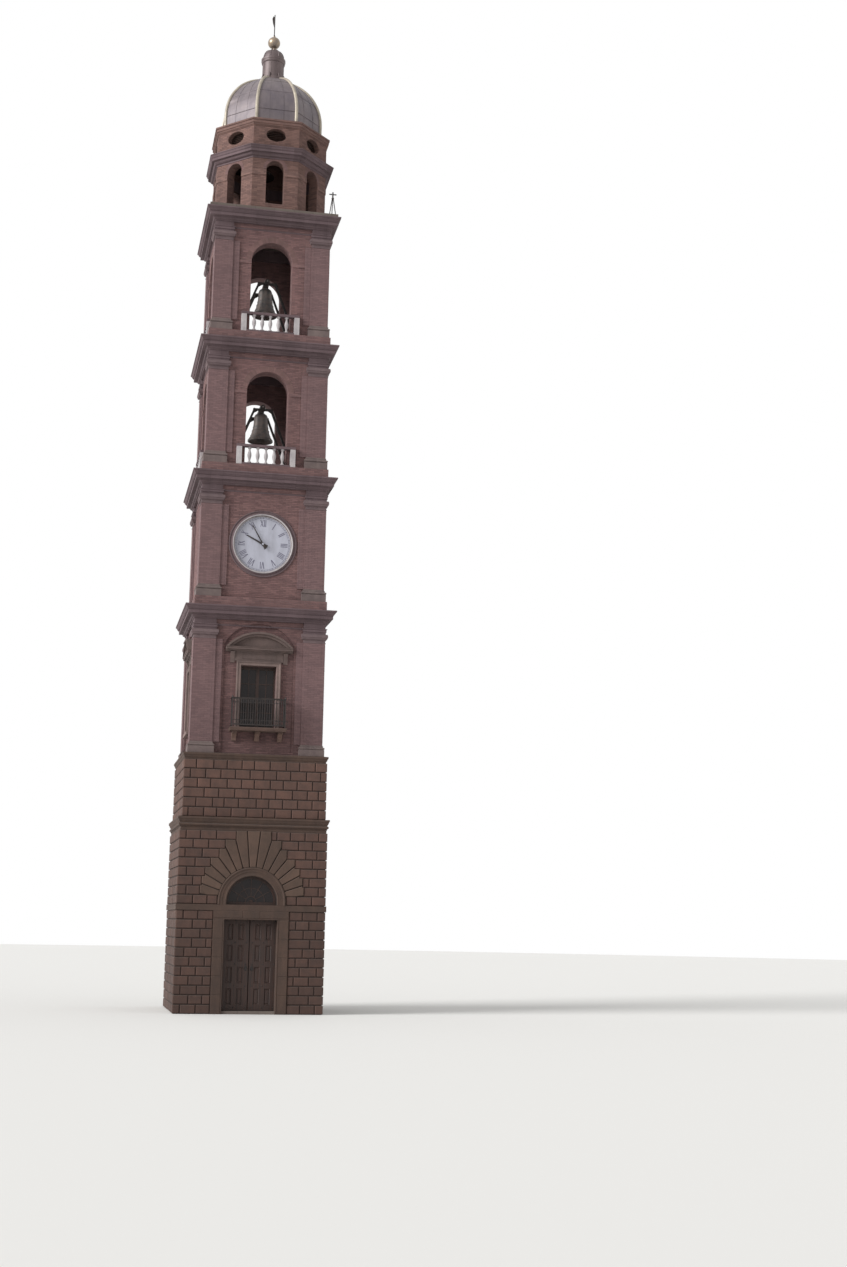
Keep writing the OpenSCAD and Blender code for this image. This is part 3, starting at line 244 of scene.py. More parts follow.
plainBrick = {"length": 0.13, "course": 0.0375, "joint": 0.005, "relief": 0.003, "rough": 0.88,
              "pitScale": 240, "pits": 0.35, "level": 0.75}
# the foot values are painted shade: wall, pilaster and cornice bricks grow darker from about 9 m down to the
# window storey
brickLook = {
    "wallBrick": {"light": (124, 93, 91), "dark": (100, 74, 74), "mortar": (106, 90, 88), "streaks": 0.08,
                  "foot": 0.74, "footLow": 5.2, "footHigh": 9.0},
    "pilasterBrick": {"light": (119, 93, 93), "dark": (106, 83, 84), "mortar": (106, 88, 88), "joint": 0.003,
                      "relief": 0.0015, "patches": 0.08, "streaks": 0.08, "grain": 0.05, "foot": 0.86,
                      "footLow": 5.2, "footHigh": 8.5},
    "corniceBrick": {"light": (99, 82, 85), "dark": (88, 72, 75), "mortar": (76, 61, 63), "length": 0.26,
                     "course": 0.9, "joint": 0.004, "relief": 0.002, "patches": 0.14, "streaks": 0.12,
                     "foot": 0.92, "soot": 0.75},
    "drumBrick": {"light": (120, 91, 83), "dark": (96, 72, 67), "mortar": (106, 86, 80), "patches": 0.12},
    "slabsBrick": {"light": (106, 96, 89), "dark": (92, 82, 77), "mortar": (70, 62, 58), "length": 0.42,
                   "course": 0.3, "joint": 0.006, "patches": 0.12, "streaks": 0.02, "grain": 0.08,
                   "soot": 0.2},
}


def makeBrickwork(name):
    look = {**plainBrick, **brickLook[name]}
    material, g, point = newMaterial(name)
    place = g.add("ShaderNodeGroup", node_tree=wallPlace).outputs[0]
    bricks = g.add("ShaderNodeTexBrick", {
        "Vector": place, "Color1": paint(look["light"]), "Color2": paint(look["dark"]),
        "Mortar": paint(look["mortar"]), "Scale": 1.0, "Mortar Size": look["joint"] / 2,
        "Mortar Smooth": 0.2, "Bias": 0.0, "Brick Width": look["length"], "Row Height": look["course"]},
        offset=0.5, offset_frequency=2)
    colour = weatherAndShade(g, bricks.outputs["Color"], point, look)
    raised = g.math("SUBTRACT", 1.0, bricks.outputs["Fac"])
    pits = g.times(g.noise(point, look["pitScale"], 3), look["pits"])
    finishMaterial(g, colour, g.math("ADD", raised, pits), look)
    return material


plainStone = {"tone": 0.1, "relief": 0.004, "rough": 0.86, "cloudScale": 5.5, "toolStretch": (1.0, 1.0, 2.4),
              "toolScale": 55}
# the foot values are painted shade on the ashlar and dressed stone low down; the head values are painted
# shade on frameStone above 7.13 m (the pediments and higher) and on slabStone above 5.66 m (the balcony slab)
stoneLook = {
    "ashlarStone": {"colours": ((90, 65, 56), (78, 58, 51)), "tone": 0.16, "grain": 0.09, "soot": 0.4,
                    "foot": 0.66, "footLow": 1.2, "footHigh": 4.6},
    "jointStone": {"colours": ((54, 42, 37), (45, 35, 32)), "tone": 0.0, "streaks": 0.05, "grain": 0.08,
                   "soot": 0.2},
    "dressedStone": {"colours": ((75, 57, 48), (66, 51, 44)), "patches": 0.12, "streaks": 0.12, "foot": 0.86,
                     "footLow": 0.5, "footHigh": 4.0},
    "voussoirStone": {"colours": ((84, 65, 55), (75, 59, 50)), "tone": 0.12, "patches": 0.12, "streaks": 0.08,
                      "grain": 0.08, "soot": 0.4},
    "baseStone": {"colours": ((108, 94, 91), (94, 81, 80)), "grain": 0.05, "soot": 0.4},
    "frameStone": {"colours": ((121, 102, 97), (107, 91, 87)), "grain": 0.05, "soot": 0.4, "head": 0.68,
                   "headLow": 7.13, "headHigh": 7.2},
    "slabStone": {"colours": ((112, 88, 78), (98, 77, 69)), "grain": 0.05, "soot": 0.3, "head": 0.62,
                  "headLow": 5.66, "headHigh": 5.7},
    "capitalStone": {"colours": ((108, 91, 92), (96, 80, 82)), "grain": 0.05},
    "paleStone": {"colours": ((180, 174, 174), (158, 152, 154)), "patches": 0.08, "streaks": 0.14,
                  "grain": 0.04, "soot": 0.3},
    "looseStone": {"colours": ((118, 89, 86), (103, 78, 76)), "tone": 0.12, "patches": 0.08, "streaks": 0.06},
}


def makeStone(name):
    look = {**plainStone, **stoneLook[name]}
    material, g, point = newMaterial(name)
    cloud = g.span(g.noise(point, look["cloudScale"], 6, 0.6), 0.35, 0.65, 0, 1)
    colour = g.mix(cloud, *(paint(c) for c in look["colours"]))
    tone = g.add("ShaderNodeAttribute", attribute_name="tone").outputs["Fac"]
    colour = g.shade(colour, g.math("ADD", 1.0, g.times(tone, look["tone"])))
    colour = weatherAndShade(g, colour, point, look)
    tooling = g.noise(g.vector("MULTIPLY", point, look["toolStretch"]), look["toolScale"], 5, 0.7)
    finishMaterial(g, colour, tooling, look)
    return material


# spots are a noise's scale, detail and roughness; share is where they start and end, and the most they show
sheet = {"spots": (2.2, 5, 0.6), "share": (0.35, 0.65, 1), "bumps": (7, 3), "relief": 0.006, "rough": 0.5,
         "metal": 0.25}
metal = {"share": (0.4, 0.62, 1), "relief": 0.0015}
plainLook = {
    "sheetMetal": {**sheet, "colours": ((115, 105, 106), (94, 86, 92)),
                   "wearAndShade": {"patches": 0.08, "streaks": 0.16, "grain": 0.03, "soot": 0.12}},
    "lanternMetal": {**sheet, "colours": ((109, 95, 94), (86, 73, 74)),
                     "wearAndShade": {"streaks": 0.2, "grain": 0.04, "soot": 0.2}},
    "rollSheet": {"colours": ((186, 176, 158), (150, 140, 128)), "spots": (6, 5, 0.6), "share": (0.3, 0.7, 1),
                  "bumps": (12, 3), "relief": 0.003, "rough": 0.45, "metal": 0.2},
    "paintedIron": {**metal, "colours": ((36, 32, 33), (54, 45, 41)), "spots": (14, 6, 0.65),
                    "bumps": (84, 3), "rough": 0.6, "metal": 0.1},
    "agedBronze": {**metal, "colours": ((140, 128, 122), (114, 112, 112)), "spots": (9, 6, 0.65),
                   "bumps": (54, 3), "rough": 0.5, "metal": 0.25},
    "wornGilding": {**metal, "colours": ((160, 142, 120), (122, 112, 106)), "spots": (7, 6, 0.65),
                    "bumps": (42, 3), "rough": 0.36, "metal": 0.6},
    "numeralPaint": {**metal, "colours": ((92, 90, 108), (106, 103, 118)), "spots": (20, 6, 0.65),
                     "bumps": (120, 3), "relief": 0.0005, "rough": 0.5},
    "stainedTimber": {"colours": ((58, 36, 28), (37, 25, 21)), "stretch": (34, 34, 2.2),
                      "spots": (1.0, 6, 0.6), "share": (0.35, 0.68, 1), "relief": 0.002, "rough": 0.6},
    "darkGlass": {"colours": ((34, 29, 30), (56, 46, 44)), "spots": (3.5, 5), "share": (0.4, 0.75, 0.5),
                  "bumps": (1.6, 2), "relief": 0.002, "rough": 0.2, "gloss": 0.25},
    "dialEnamel": {"colours": ((174, 175, 187), (152, 152, 162)), "stretch": (4, 4, 1.4),
                   "spots": (1.3, 6, 0.6), "share": (0.4, 0.75, 1), "bumps": (90, 2), "relief": 0.0006,
                   "rough": 0.35},
}


def makePlain(name):
    look = plainLook[name]
    material, g, point = newMaterial(name)
    place = g.vector("MULTIPLY", point, look["stretch"]) if "stretch" in look else point
    spots = g.noise(place, *look["spots"])
    start, end, most = look["share"]
    colour = g.mix(g.span(spots, start, end, 0, most), *(paint(c) for c in look["colours"]))
    if "wearAndShade" in look:
        colour = weatherAndShade(g, colour, point, look["wearAndShade"])
    finishMaterial(g, colour, g.noise(point, *look["bumps"]) if "bumps" in look else spots, look)
    return material


wallPlace = makeWallPlace()
finish = {}
for looks, make in ((brickLook, makeBrickwork), (stoneLook, makeStone), (plainLook, makePlain)):
    finish.update({name: make(name) for name in looks})

print("stage: finishes and smooth edges of the frame's nodes")

nodeFinish = {
    "jointStone": ["front_wall_piers", "front_wall_arch", "side_walls", "back_wall", "second_storey_walls"],
    "slabsBrick": ["hall_floor", "terrace_floor"],
    "dressedStone": ["portal_frame", "portal_arch", "base_mouldings"],
    "frameStone": ["window_surrounds"],
    "slabStone": ["balcony"],
    "baseStone": ["pilaster_bases"],
    "capitalStone": ["pilaster_capitals"],
    "wallBrick": ["window_storey_floor", "window_front_back_walls", "window_side_walls",
                  "clock_front_back_walls", "clock_side_walls", "belfry_floors", "lower_belfry_piers",
                  "lower_belfry_arches", "upper_belfry_piers", "upper_belfry_arches"],
    "pilasterBrick": ["corner_pilasters"],
    "corniceBrick": ["window_cornice", "clock_cornice", "lower_belfry_cornice", "top_cornice", "clock_frame",
                     "balustrade_rails", "drum_cornice"],
    "drumBrick": ["drum_walls", "drum_attic"],
    "paleStone": ["belfry_balusters"],
    "sheetMetal": ["dome", "dome_ribs"],
    "lanternMetal": ["lantern"],
    "dialEnamel": ["clock_dial"],
    "wornGilding": ["finial"],
    "agedBronze": ["lower_bell", "upper_bell"],
    "stainedTimber": ["left_door_leaf", "right_door_leaf", "windows"],
    "paintedIron": ["door_hinges", "balcony_parapet", "hour_hand", "minute_hand", "bell_frames",
                    "lower_clapper", "upper_clapper", "finial_rod", "terrace_mast"],
}
smoothed = {"weld": 0.0003, "angle": 24, "nodes": [
    "belfry_balusters", "dome", "lantern", "finial", "lower_bell", "upper_bell", "clock_frame",
    "lower_clapper", "upper_clapper", "window_surrounds", "pilaster_bases", "pilaster_capitals",
    "window_cornice", "clock_cornice", "lower_belfry_cornice", "top_cornice", "base_mouldings",
    "drum_cornice", "drum_attic", "portal_arch", "finial_rod", "door_hinges", "clock_dial", "hour_hand",
    "minute_hand"]}

for name, nodes in nodeFinish.items():
    for node in nodes:
        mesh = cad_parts[node].data
        mesh.materials.clear()
        mesh.materials.append(finish[name])
for node in smoothed["nodes"]:
    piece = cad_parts[node]
    piece.data.polygons.foreach_set("use_smooth", [True] * len(piece.data.polygons))
    piece.modifiers.new("weld", "WELD").merge_threshold = smoothed["weld"]
    piece.modifiers.new("sharp", "EDGE_SPLIT").split_angle = math.radians(smoothed["angle"])

print("stage: the trees that make what repeats")


def newTree(name, sockets):
    # a tree with named inputs, which takes a mesh and gives one
    tree = bpy.data.node_groups.new(name, "GeometryNodeTree")
    tree.interface.new_socket("Geometry", in_out="INPUT", socket_type="NodeSocketGeometry")
    for label, kind, value in sockets:
        socket = tree.interface.new_socket(label, in_out="INPUT", socket_type="NodeSocket" + kind)
        if value is not None:
            socket.default_value = value
    tree.interface.new_socket("Material", in_out="INPUT", socket_type="NodeSocketMaterial")
    tree.interface.new_socket("Geometry", in_out="OUTPUT", socket_type="NodeSocketGeometry")
    g = Graph(tree)
    return tree, g, g.add("NodeGroupInput").outputs


def endTree(g, given, geometry):
    real = g.add("GeometryNodeRealizeInstances", {0: geometry}).outputs[0]
    painted = g.add("GeometryNodeSetMaterial", {"Geometry": real, "Material": given["Material"]}).outputs[0]
    g.add("NodeGroupOutput", {"Geometry": painted})


def makeStoneTree(name, chamfered):
    # each flat face becomes a closed block that stands out of its wall, with its own depth and tone
    tree, g, given = newTree(name, [("Depth", "Float", 0.01), ("Depth spread", "Float", 0.0),
                                    ("Chamfer", "Float", 0.003), ("Seed", "Int", 1)])
    draws = ((-1.0, 1.0), (0.0, given["Depth spread"]))
    tone, spread = (g.add("FunctionNodeRandomValue", {2: low, 3: high, 8: given["Seed"]},
                          data_type="FLOAT").outputs[1] for low, high in draws)
    toned = g.add("GeometryNodeStoreNamedAttribute",
                  {"Geometry": given["Geometry"], "Name": "tone", "Value": tone},
                  data_type="FLOAT", domain="FACE").outputs[0]
    back = g.add("GeometryNodeFlipFaces", {0: toned}).outputs[0]
    depth = g.math("ADD", given["Depth"], spread)
    if chamfered:
        depth = g.math("SUBTRACT", depth, given["Chamfer"])
    risen = g.add("GeometryNodeExtrudeMesh", {"Mesh": toned, "Offset Scale": depth, "Individual": True},
                  mode="FACES")
    front = risen.outputs[0]
    if chamfered:
        lip = g.add("GeometryNodeExtrudeMesh", {"Mesh": front, "Selection": risen.outputs[1],
                                                "Individual": True, "Offset Scale": given["Chamfer"]},
                    mode="FACES")
        pull = g.add("ShaderNodeVectorMath", {0: g.named("inward"), "Scale": given["Chamfer"]},
                     operation="SCALE")
        front = g.add("GeometryNodeSetPosition", {"Geometry": lip.outputs[0], "Selection": lip.outputs[1],
                                                  "Offset": pull.outputs[0]}).outputs[0]
    both = g.add("GeometryNodeJoinGeometry")
    g.tree.links.new(front, both.inputs[0])
    g.tree.links.new(back, both.inputs[0])
    shut = g.add("GeometryNodeMergeByDistance", {"Geometry": both.outputs[0], "Distance": 0.00002}).outputs[0]
    endTree(g, given, g.add("GeometryNodeRemoveAttribute", {"Geometry": shut, "Name": "inward"}).outputs[0])
    return tree


def makeBarTree():
    # every line becomes a bar of one section, round or square, that keeps its width level
    tree, g, given = newTree("barTree", [("Width", "Float", 0.01), ("Height", "Float", 0.01),
                                         ("Sides", "Int", 8)])
    line = g.add("GeometryNodeMeshToCurve", {0: given["Geometry"]}).outputs[0]
    line = g.add("GeometryNodeSetCurveNormal", {0: line}, mode="Z_UP").outputs[0]
    ring = g.add("GeometryNodeCurvePrimitiveCircle", {"Resolution": given["Sides"], "Radius": 0.5}).outputs[0]
    turned = g.add("ShaderNodeCombineXYZ", {"Z": g.math("DIVIDE", math.pi, given["Sides"])}).outputs[0]
    ring = g.add("GeometryNodeTransform", {"Geometry": ring, "Rotation": turned}).outputs[0]
    size = g.add("ShaderNodeCombineXYZ", {"X": given["Width"], "Y": given["Height"], "Z": 1.0}).outputs[0]
    ring = g.add("GeometryNodeTransform", {"Geometry": ring, "Scale": size}).outputs[0]
    bars = g.add("GeometryNodeCurveToMesh", {"Curve": line, "Profile Curve": ring, "Fill Caps": True})
    endTree(g, given, bars.outputs[0])
    return tree


def makeCopyTree():
    # one copy of a shape on every point, turned by the point's own value
    tree, g, given = newTree("copyTree", [("Shape", "Object", None)])
    shape = g.add("GeometryNodeObjectInfo", {"Object": given["Shape"]}).outputs["Geometry"]
    turned = g.add("FunctionNodeEulerToRotation", {0: g.named("turn")}).outputs[0]
    placed = g.add("GeometryNodeInstanceOnPoints", {"Points": given["Geometry"], "Instance": shape,
                                                    "Rotation": turned}).outputs[0]
    endTree(g, given, placed)
    return tree


stoneTree, brickTree = makeStoneTree("stoneTree", True), makeStoneTree("brickTree", False)
barTree, copyTree = makeBarTree(), makeCopyTree()


def addPiece(name, mesh, body):
    piece = bpy.data.objects.new(name, mesh)
    scene.collection.objects.link(piece)
    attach(piece, body)
    return piece


def grow(name, tree, mesh, values, look, body="tower"):
    # runs a tree on a mesh, keeps the result as a plain mesh, and rides it on its body
    seedling = bpy.data.objects.new(name + "Seed", mesh)
    scene.collection.objects.link(seedling)
    modifier = seedling.modifiers.new("tree", "NODES")
    modifier.node_group = tree
    given = {**values, "Material": finish[look]}
    for item in tree.interface.items_tree:
        if item.in_out == "INPUT" and item.name in given:
            modifier[item.identifier] = given[item.name]
    bpy.context.view_layer.update()
    grown = bpy.data.meshes.new_from_object(seedling.evaluated_get(bpy.context.evaluated_depsgraph_get()))
    seedling.modifiers.clear()
    bpy.data.objects.remove(seedling)
    grown.name = name
    return addPiece(name, grown, body)


def turnedPoint(turn, along, out, height):
    # a point on the side that is turned from the front by so many degrees
    a = math.radians(turn)
    return (along * math.cos(a) + out * math.sin(a), along * math.sin(a) - out * math.cos(a), height)


def onFace(turn, out, points):
    # points given as along and up, on a plane of one side
    return [turnedPoint(turn, x, out, z) for x, z in points]


def box(left, right, low, high):
    return [(left, low), (right, low), (right, high), (left, high)]


def inwardSteps(face):
    # for each corner, the step that moves both of its edges inwards by one
    corners = [Vector(p) for p in face]
    count = len(corners)
    edges = [(corners[(i + 1) % count] - corners[i]).normalized() for i in range(count)]
    normal = sum((corners[i].cross(corners[(i + 1) % count]) for i in range(count)), Vector()).normalized()
    sides = [normal.cross(edge) for edge in edges]
    return [(sides[i - 1] + sides[i]) / (1 + sides[i - 1].dot(sides[i])) for i in range(count)]


def faceMesh(faces):
    mesh = bpy.data.meshes.new("faces")
    ends = [0]
    for face in faces:
        ends.append(ends[-1] + len(face))
    points = [p for face in faces for p in face]
    mesh.from_pydata(points, [], [list(range(a, b)) for a, b in zip(ends, ends[1:])])
    inward = mesh.attributes.new("inward", "FLOAT_VECTOR", "POINT")
    inward.data.foreach_set("vector", [v for face in faces for step in inwardSteps(face) for v in step])
    return mesh


def lineMesh(lines, closed):
    mesh = bpy.data.meshes.new("lines")
    points, edges = [], []
    for line in lines:
        first = len(points)
        points += line
        edges += [(first + i, first + i + 1) for i in range(len(line) - 1)]
        if closed:
            edges.append((len(points) - 1, first))
    mesh.from_pydata(points, edges, [])
    return mesh


def growCopies(name, shape, copies, look, body="tower"):
    # each copy is its place and its turn in radians
    mesh = bpy.data.meshes.new("copies")
    mesh.from_pydata([place for place, turn in copies], [], [])
    turns = mesh.attributes.new("turn", "FLOAT_VECTOR", "POINT")
    turns.data.foreach_set("vector", [v for place, turn in copies for v in turn])
    grow(name, copyTree, mesh, {"Shape": shape}, look, body)
    bpy.data.objects.remove(shape)


def always(value):
    return lambda z: value


def discGap(radius, middle, upright=0.0, spring=0.0):
    # the half width of a round hole at a height, with upright sides below its spring
    return lambda z: upright if z < spring else math.sqrt(max(0.0, radius * radius - (z - middle) ** 2))


slimmest = {"face": 0.012, "edge": 0.0015, "course": 0.014}


def coursedFaces(turn, plane, courses, size, reach, gap, jitter=0.0, shortest=0.01, seed=1):
    # flat faces of stones or bricks between gap and reach to either side of the middle; a course is its
    # number, its foot and its head, a size is length and joint, and reach and gap are given for a height
    length, joint = size
    draw = random.Random(seed)
    faces = []
    for number, foot, head in courses:
        low, high = foot + joint / 2, head - joint / 2
        inner, outer = (gap(low), gap(high)), (reach(low), reach(high))
        runs = [((-outer[0], -outer[1]), outer, 1)]
        if max(inner) > 0:
            runs = [(inner, outer, 1), (inner, outer, -1)]
        shift = 0.5 if number % 2 == 0 else 0.0
        for start, stop, hand in runs:
            least, most = min(start), max(stop)
            cuts = []
            k = math.floor(least / length) - 1
            while (k - shift) * length < most:
                cut = (k - shift) * length + draw.uniform(-jitter, jitter)
                if least + shortest < cut < most - shortest:
                    cuts.append(cut)
                k += 1
            cuts = [-math.inf] + cuts + [math.inf]
            for left, right in zip(cuts, cuts[1:]):
                a = [max(left + joint / 2, s) for s in start]
                b = [min(right - joint / 2, s) for s in stop]
                if max(b[0] - a[0], b[1] - a[1]) < slimmest["face"]:
                    continue
                b = [max(b[i], a[i] + slimmest["edge"]) for i in (0, 1)]
                corners = [(a[0], low), (b[0], low), (b[1], high), (a[1], high)]
                if hand < 0:
                    corners = [(-x, z) for x, z in reversed(corners)]
                faces.append(onFace(turn, plane, corners))
    return faces


def brickCourses(foot, head):
    # courses of one height, counted from the ground, so that they meet the pattern in the material
    height = plainBrick["course"]
    first, last = math.floor(foot / height), math.ceil(head / height)
    courses = [(k, max(foot, k * height), min(head, (k + 1) * height)) for k in range(first, last)]
    return [c for c in courses if c[2] - c[1] > slimmest["course"]]


print("stage: ashlar of the two lowest storeys")

ashlar = {"half": 1.5, "upperHalf": 1.46, "sunk": 0.004, "proud": 0.02, "spread": 0.006, "chamfer": 0.013,
          "length": 0.3, "joint": 0.017, "jitter": 0.036, "shortest": 0.11, "impost": (2.056, 2.176),
          "groundTop": 3.67, "upper": (3.94, 5.12, 6), "lowCourses": 11, "highCourses": 8, "jambOuter": 0.778,
          "archOuter": 0.703, "fanReach": 1.06, "fanSteps": (1, 0.97, 0.91, 0.81, 0.65, 0.54, 0.335),
          "seed": 4, "groundSeed": 11, "upperSeed": 31}
fan = {"count": 15, "start": 7.5, "joint": 0.018, "near": 0.698, "far": 2.2, "spring": 2.24, "plane": 1.521,
       "clear": 0.001, "topClear": 0.003, "shortest": 0.012,
       "stones": {"Depth": 0.013, "Chamfer": 0.01, "Seed": 9}}


def evenCourses(foot, head, count, first=0):
    step = (head - foot) / count
    return [(first + i, foot + i * step, foot + (i + 1) * step) for i in range(count)]


def trimmed(corners, a, b, most):
    # the part of a flat shape where a times x plus b times z is no more than that
    kept = []
    for p, q in zip(corners, corners[1:] + corners[:1]):
        over, rest = a * p[0] + b * p[1] - most, a * q[0] + b * q[1] - most
        if over <= 0:
            kept.append(p)
        if over * rest < 0:
            share = over / (over - rest)
            kept.append((p[0] + share * (q[0] - p[0]), p[1] + share * (q[1] - p[1])))
    return kept


def widthAt(corners, z):
    found = [p[0] for p in corners if abs(p[1] - z) < 1e-6]
    for p, q in zip(corners, corners[1:] + corners[:1]):
        if (p[1] - z) * (q[1] - z) < 0:
            found.append(p[0] + (z - p[1]) / (q[1] - p[1]) * (q[0] - p[0]))
    return min(found), max(found)


def voussoirFaces():
    # each wedge stone runs out to the stepped ends of the courses beside the fan
    a, f = ashlar, fan
    step = (a["groundTop"] - a["impost"][1]) / a["highCourses"]
    pitch = math.radians(180 - 2 * f["start"]) / f["count"]
    top = len(a["fanSteps"]) - 1
    faces = []
    for k in range(f["count"]):
        turn = math.radians(f["start"]) + pitch * (k + 0.5)
        wedge = []
        for radius, hand in ((f["near"], -1), (f["far"], -1), (f["far"], 1), (f["near"], 1)):
            angle = turn + hand * (pitch / 2 - math.atan(f["joint"] / 2 / radius))
            wedge.append((radius * math.cos(angle), f["spring"] + radius * math.sin(angle)))
        left, right = [], []
        for row, share in enumerate(a["fanSteps"]):
            low = a["impost"][1] + step * (row + 1)
            clear = f["topClear"] if row == top else 0
            part = trimmed(trimmed(wedge, 0, -1, -low), 0, 1, low + step - clear)
            reach = a["fanReach"] * share - f["clear"]
            part = trimmed(trimmed(part, 1, 0, reach), -1, 0, reach)
            for z in sorted({round(p[1], 6) for p in part}):
                ends = widthAt([(p[0], round(p[1], 6)) for p in part], z)
                left.append((ends[0], z))
                right.append((ends[1], z))
        ring = right + left[::-1]
        kept = [p for i, p in enumerate(ring) if math.dist(p, ring[i - 1]) > f["shortest"]]
        faces.append(onFace(0, f["plane"], kept))
    return faces


def growAshlar(name, half, courses, frontGap, seed):
    a = ashlar
    faces = []
    for turn in fourSides:
        corner = half + (a["proud"] if turn % 180 == 0 else 0.0)
        faces += coursedFaces(turn, half - a["sunk"], courses, (a["length"], a["joint"]), always(corner),
                              frontGap if turn == 0 else always(0.0), a["jitter"], a["shortest"], seed + turn)
    values = {"Depth": a["sunk"] + a["proud"], "Depth spread": a["spread"], "Chamfer": a["chamfer"],
              "Seed": a["seed"]}
    grow(name, stoneTree, faceMesh(faces), values, "ashlarStone")


def makeAshlar():
    a, (foot, head) = ashlar, ashlar["impost"]
    courses = evenCourses(0, foot, a["lowCourses"]) + evenCourses(head, a["groundTop"], a["highCourses"], 1)
    step = (a["groundTop"] - head) / a["highCourses"]

    def frontGap(z):
        if z < foot:
            return a["jambOuter"]
        row = int((z - head) / step)
        return a["archOuter"] if row == 0 else a["fanReach"] * a["fanSteps"][row - 1] + a["joint"] / 2

    growAshlar("groundStones", a["half"], courses, frontGap, a["groundSeed"])
    growAshlar("secondStoreyStones", a["upperHalf"], evenCourses(*a["upper"]), always(0.0), a["upperSeed"])
    grow("portalVoussoirs", stoneTree, faceMesh(voussoirFaces()), fan["stones"], "voussoirStone")


makeAshlar()

print("stage: bricks of the walls")

storeys = {
    "window": {"side": 2.758, "pilaster": 0.46, "shaft": (5.494, 7.65), "wall": (5.264, 8.07)},
    "clock": {"side": 2.66, "pilaster": 0.44, "shaft": (8.81, 10.55), "wall": (8.55, 10.97)},
    "lower": {"side": 2.576, "pilaster": 0.42, "shaft": (11.71, 13.52), "wall": (11.45, 13.94)},
    "upper": {"side": 2.514, "pilaster": 0.395, "shaft": (14.68, 16.47), "wall": (14.42, 16.89)},
}
masonry = {"step": 0.045, "strip": 0.12, "sunk": 0.002, "proud": 0.0022, "spread": 0.0016, "joint": 0.005,
           "thinJoint": 0.003, "archWidth": 0.897, "archBrick": 0.118, "archBricks": 37, "archProud": 0.005,
           "archSpread": 0.002, "archClear": 0.001, "archSeed": 3, "bedProud": 0.0006, "bedEdge": 0.004,
           "spring": {"lower": 13.106, "upper": 16.055}, "dialHeight": 9.74, "dialClear": 0.69,
           "openHalf": 0.4, "openFoot": 5.794, "openHead": 7.146, "recessHalf": 0.735, "recessDepth": 0.03,
           "recessFoot": 5.324, "recessSpring": 7.56, "recessRadius": 0.82525, "recessMiddle": 7.18475,
           "seed": 7}


def recessReach(z):
    m = masonry
    ring = discGap(m["recessRadius"], m["recessMiddle"], m["recessHalf"], m["recessSpring"])
    return ring(z) if z >= m["recessFoot"] else 0.0


def wallFaces(name, turn):
    m, s = masonry, storeys[name]
    plane = s["side"] / 2 - m["step"] - m["sunk"]
    edge = always((s["side"] - m["step"]) / 2 - s["pilaster"] - m["strip"])
    courses = brickCourses(*s["wall"])
    brick = (plainBrick["length"], m["joint"])
    if name == "window":
        recessHead = m["recessMiddle"] + m["recessRadius"]
        inRecess = [c for c in courses if c[1] > m["recessFoot"] and c[2] < recessHead]
        faces = coursedFaces(turn, plane, courses, brick, edge, recessReach)
        opening = lambda z: m["openHalf"] if m["openFoot"] < z < m["openHead"] else 0.0
        return faces + coursedFaces(turn, plane - m["recessDepth"], inRecess, brick, recessReach, opening)
    if name == "clock":
        gap = discGap(m["dialClear"], m["dialHeight"]) if turn % 180 == 0 else always(0.0)
    else:
        half, spring = m["archWidth"] / 2, m["spring"][name]
        gap = discGap(half + m["archBrick"], spring, half, spring)
    return coursedFaces(turn, plane, courses, brick, edge, gap)


def pilasterFaces(name, turn):
    m, s = masonry, storeys[name]
    courses = brickCourses(*s["shaft"])
    brick = (plainBrick["length"], m["thinJoint"])
    half = s["side"] / 2
    inner = always(half - s["pilaster"])
    corner = always(half + (m["proud"] if turn % 180 == 0 else 0.0))
    edge = always(half - m["step"] / 2 - s["pilaster"] - m["strip"])
    faces = coursedFaces(turn, half - m["sunk"], courses, brick, corner, inner)
    return faces + coursedFaces(turn, half - m["step"] / 2 - m["sunk"], courses, brick, inner, edge)


def growArches(name, values, places, radius):
    # bricks on end round each arch, and the mortar behind them; a place is turn, plane and spring
    m, length, count = masonry, values["archBrick"], values["archBricks"]
    radius += m["archClear"]
    faces, beds = [], []
    slack = m["joint"] / 2 / radius
    for turn, plane, spring in places:
        for k in range(count):
            a, b = math.pi * k / count, math.pi * (k + 1) / count
            for low, high, far, kept in ((a + slack, b - slack, length, faces),
                                         (a, b, length + m["bedEdge"], beds)):
                brick = [(r * math.cos(t), spring + r * math.sin(t))
                         for r, t in box(radius, radius + far, low, high)]
                kept.append(onFace(turn, plane, brick))
    grow(name + "ArchBeds", brickTree, faceMesh(beds), {"Depth": m["sunk"] + m["bedProud"]}, "slabsBrick")
    grow(name + "ArchBricks", brickTree, faceMesh(faces),
         {"Depth": m["sunk"] + values["archProud"], "Depth spread": m["archSpread"],
          "Seed": values["archSeed"]}, "looseStone")


def makeBricks():
    m = masonry
    values = {"Depth": m["sunk"] + m["proud"], "Depth spread": m["spread"], "Seed": m["seed"]}
    kinds = (("WallBricks", wallFaces, "wallBrick", "brick"),
             ("PilasterBricks", pilasterFaces, "pilasterBrick", "pilaster_brick"))
    for name in storeys:
        for label, makeFaces, look, slot in kinds:
            faces = [f for turn in fourSides for f in makeFaces(name, turn)]
            grow(name + label, brickTree, faceMesh(faces), values, look)
    places = [(turn, storeys[name]["side"] / 2 - m["step"] - m["sunk"], m["spring"][name])
              for name in ("lower", "upper") for turn in fourSides]
    growArches("belfry", m, places, m["archWidth"] / 2)


makeBricks()

print("stage: bricks of the drum")

drum = {"half": 1.218, "plinthHalf": 1.256, "plinth": (17.24, 17.4), "wall": (17.4, 18.45),
        "attic": (18.7, 19.21), "window": 0.397, "spring": 18.215, "archBrick": 0.075, "archBricks": 19,
        "archProud": 0.004, "archSeed": 5, "oculus": (0.226, 0.154), "oculusMiddle": 19.021, "seed": 8}


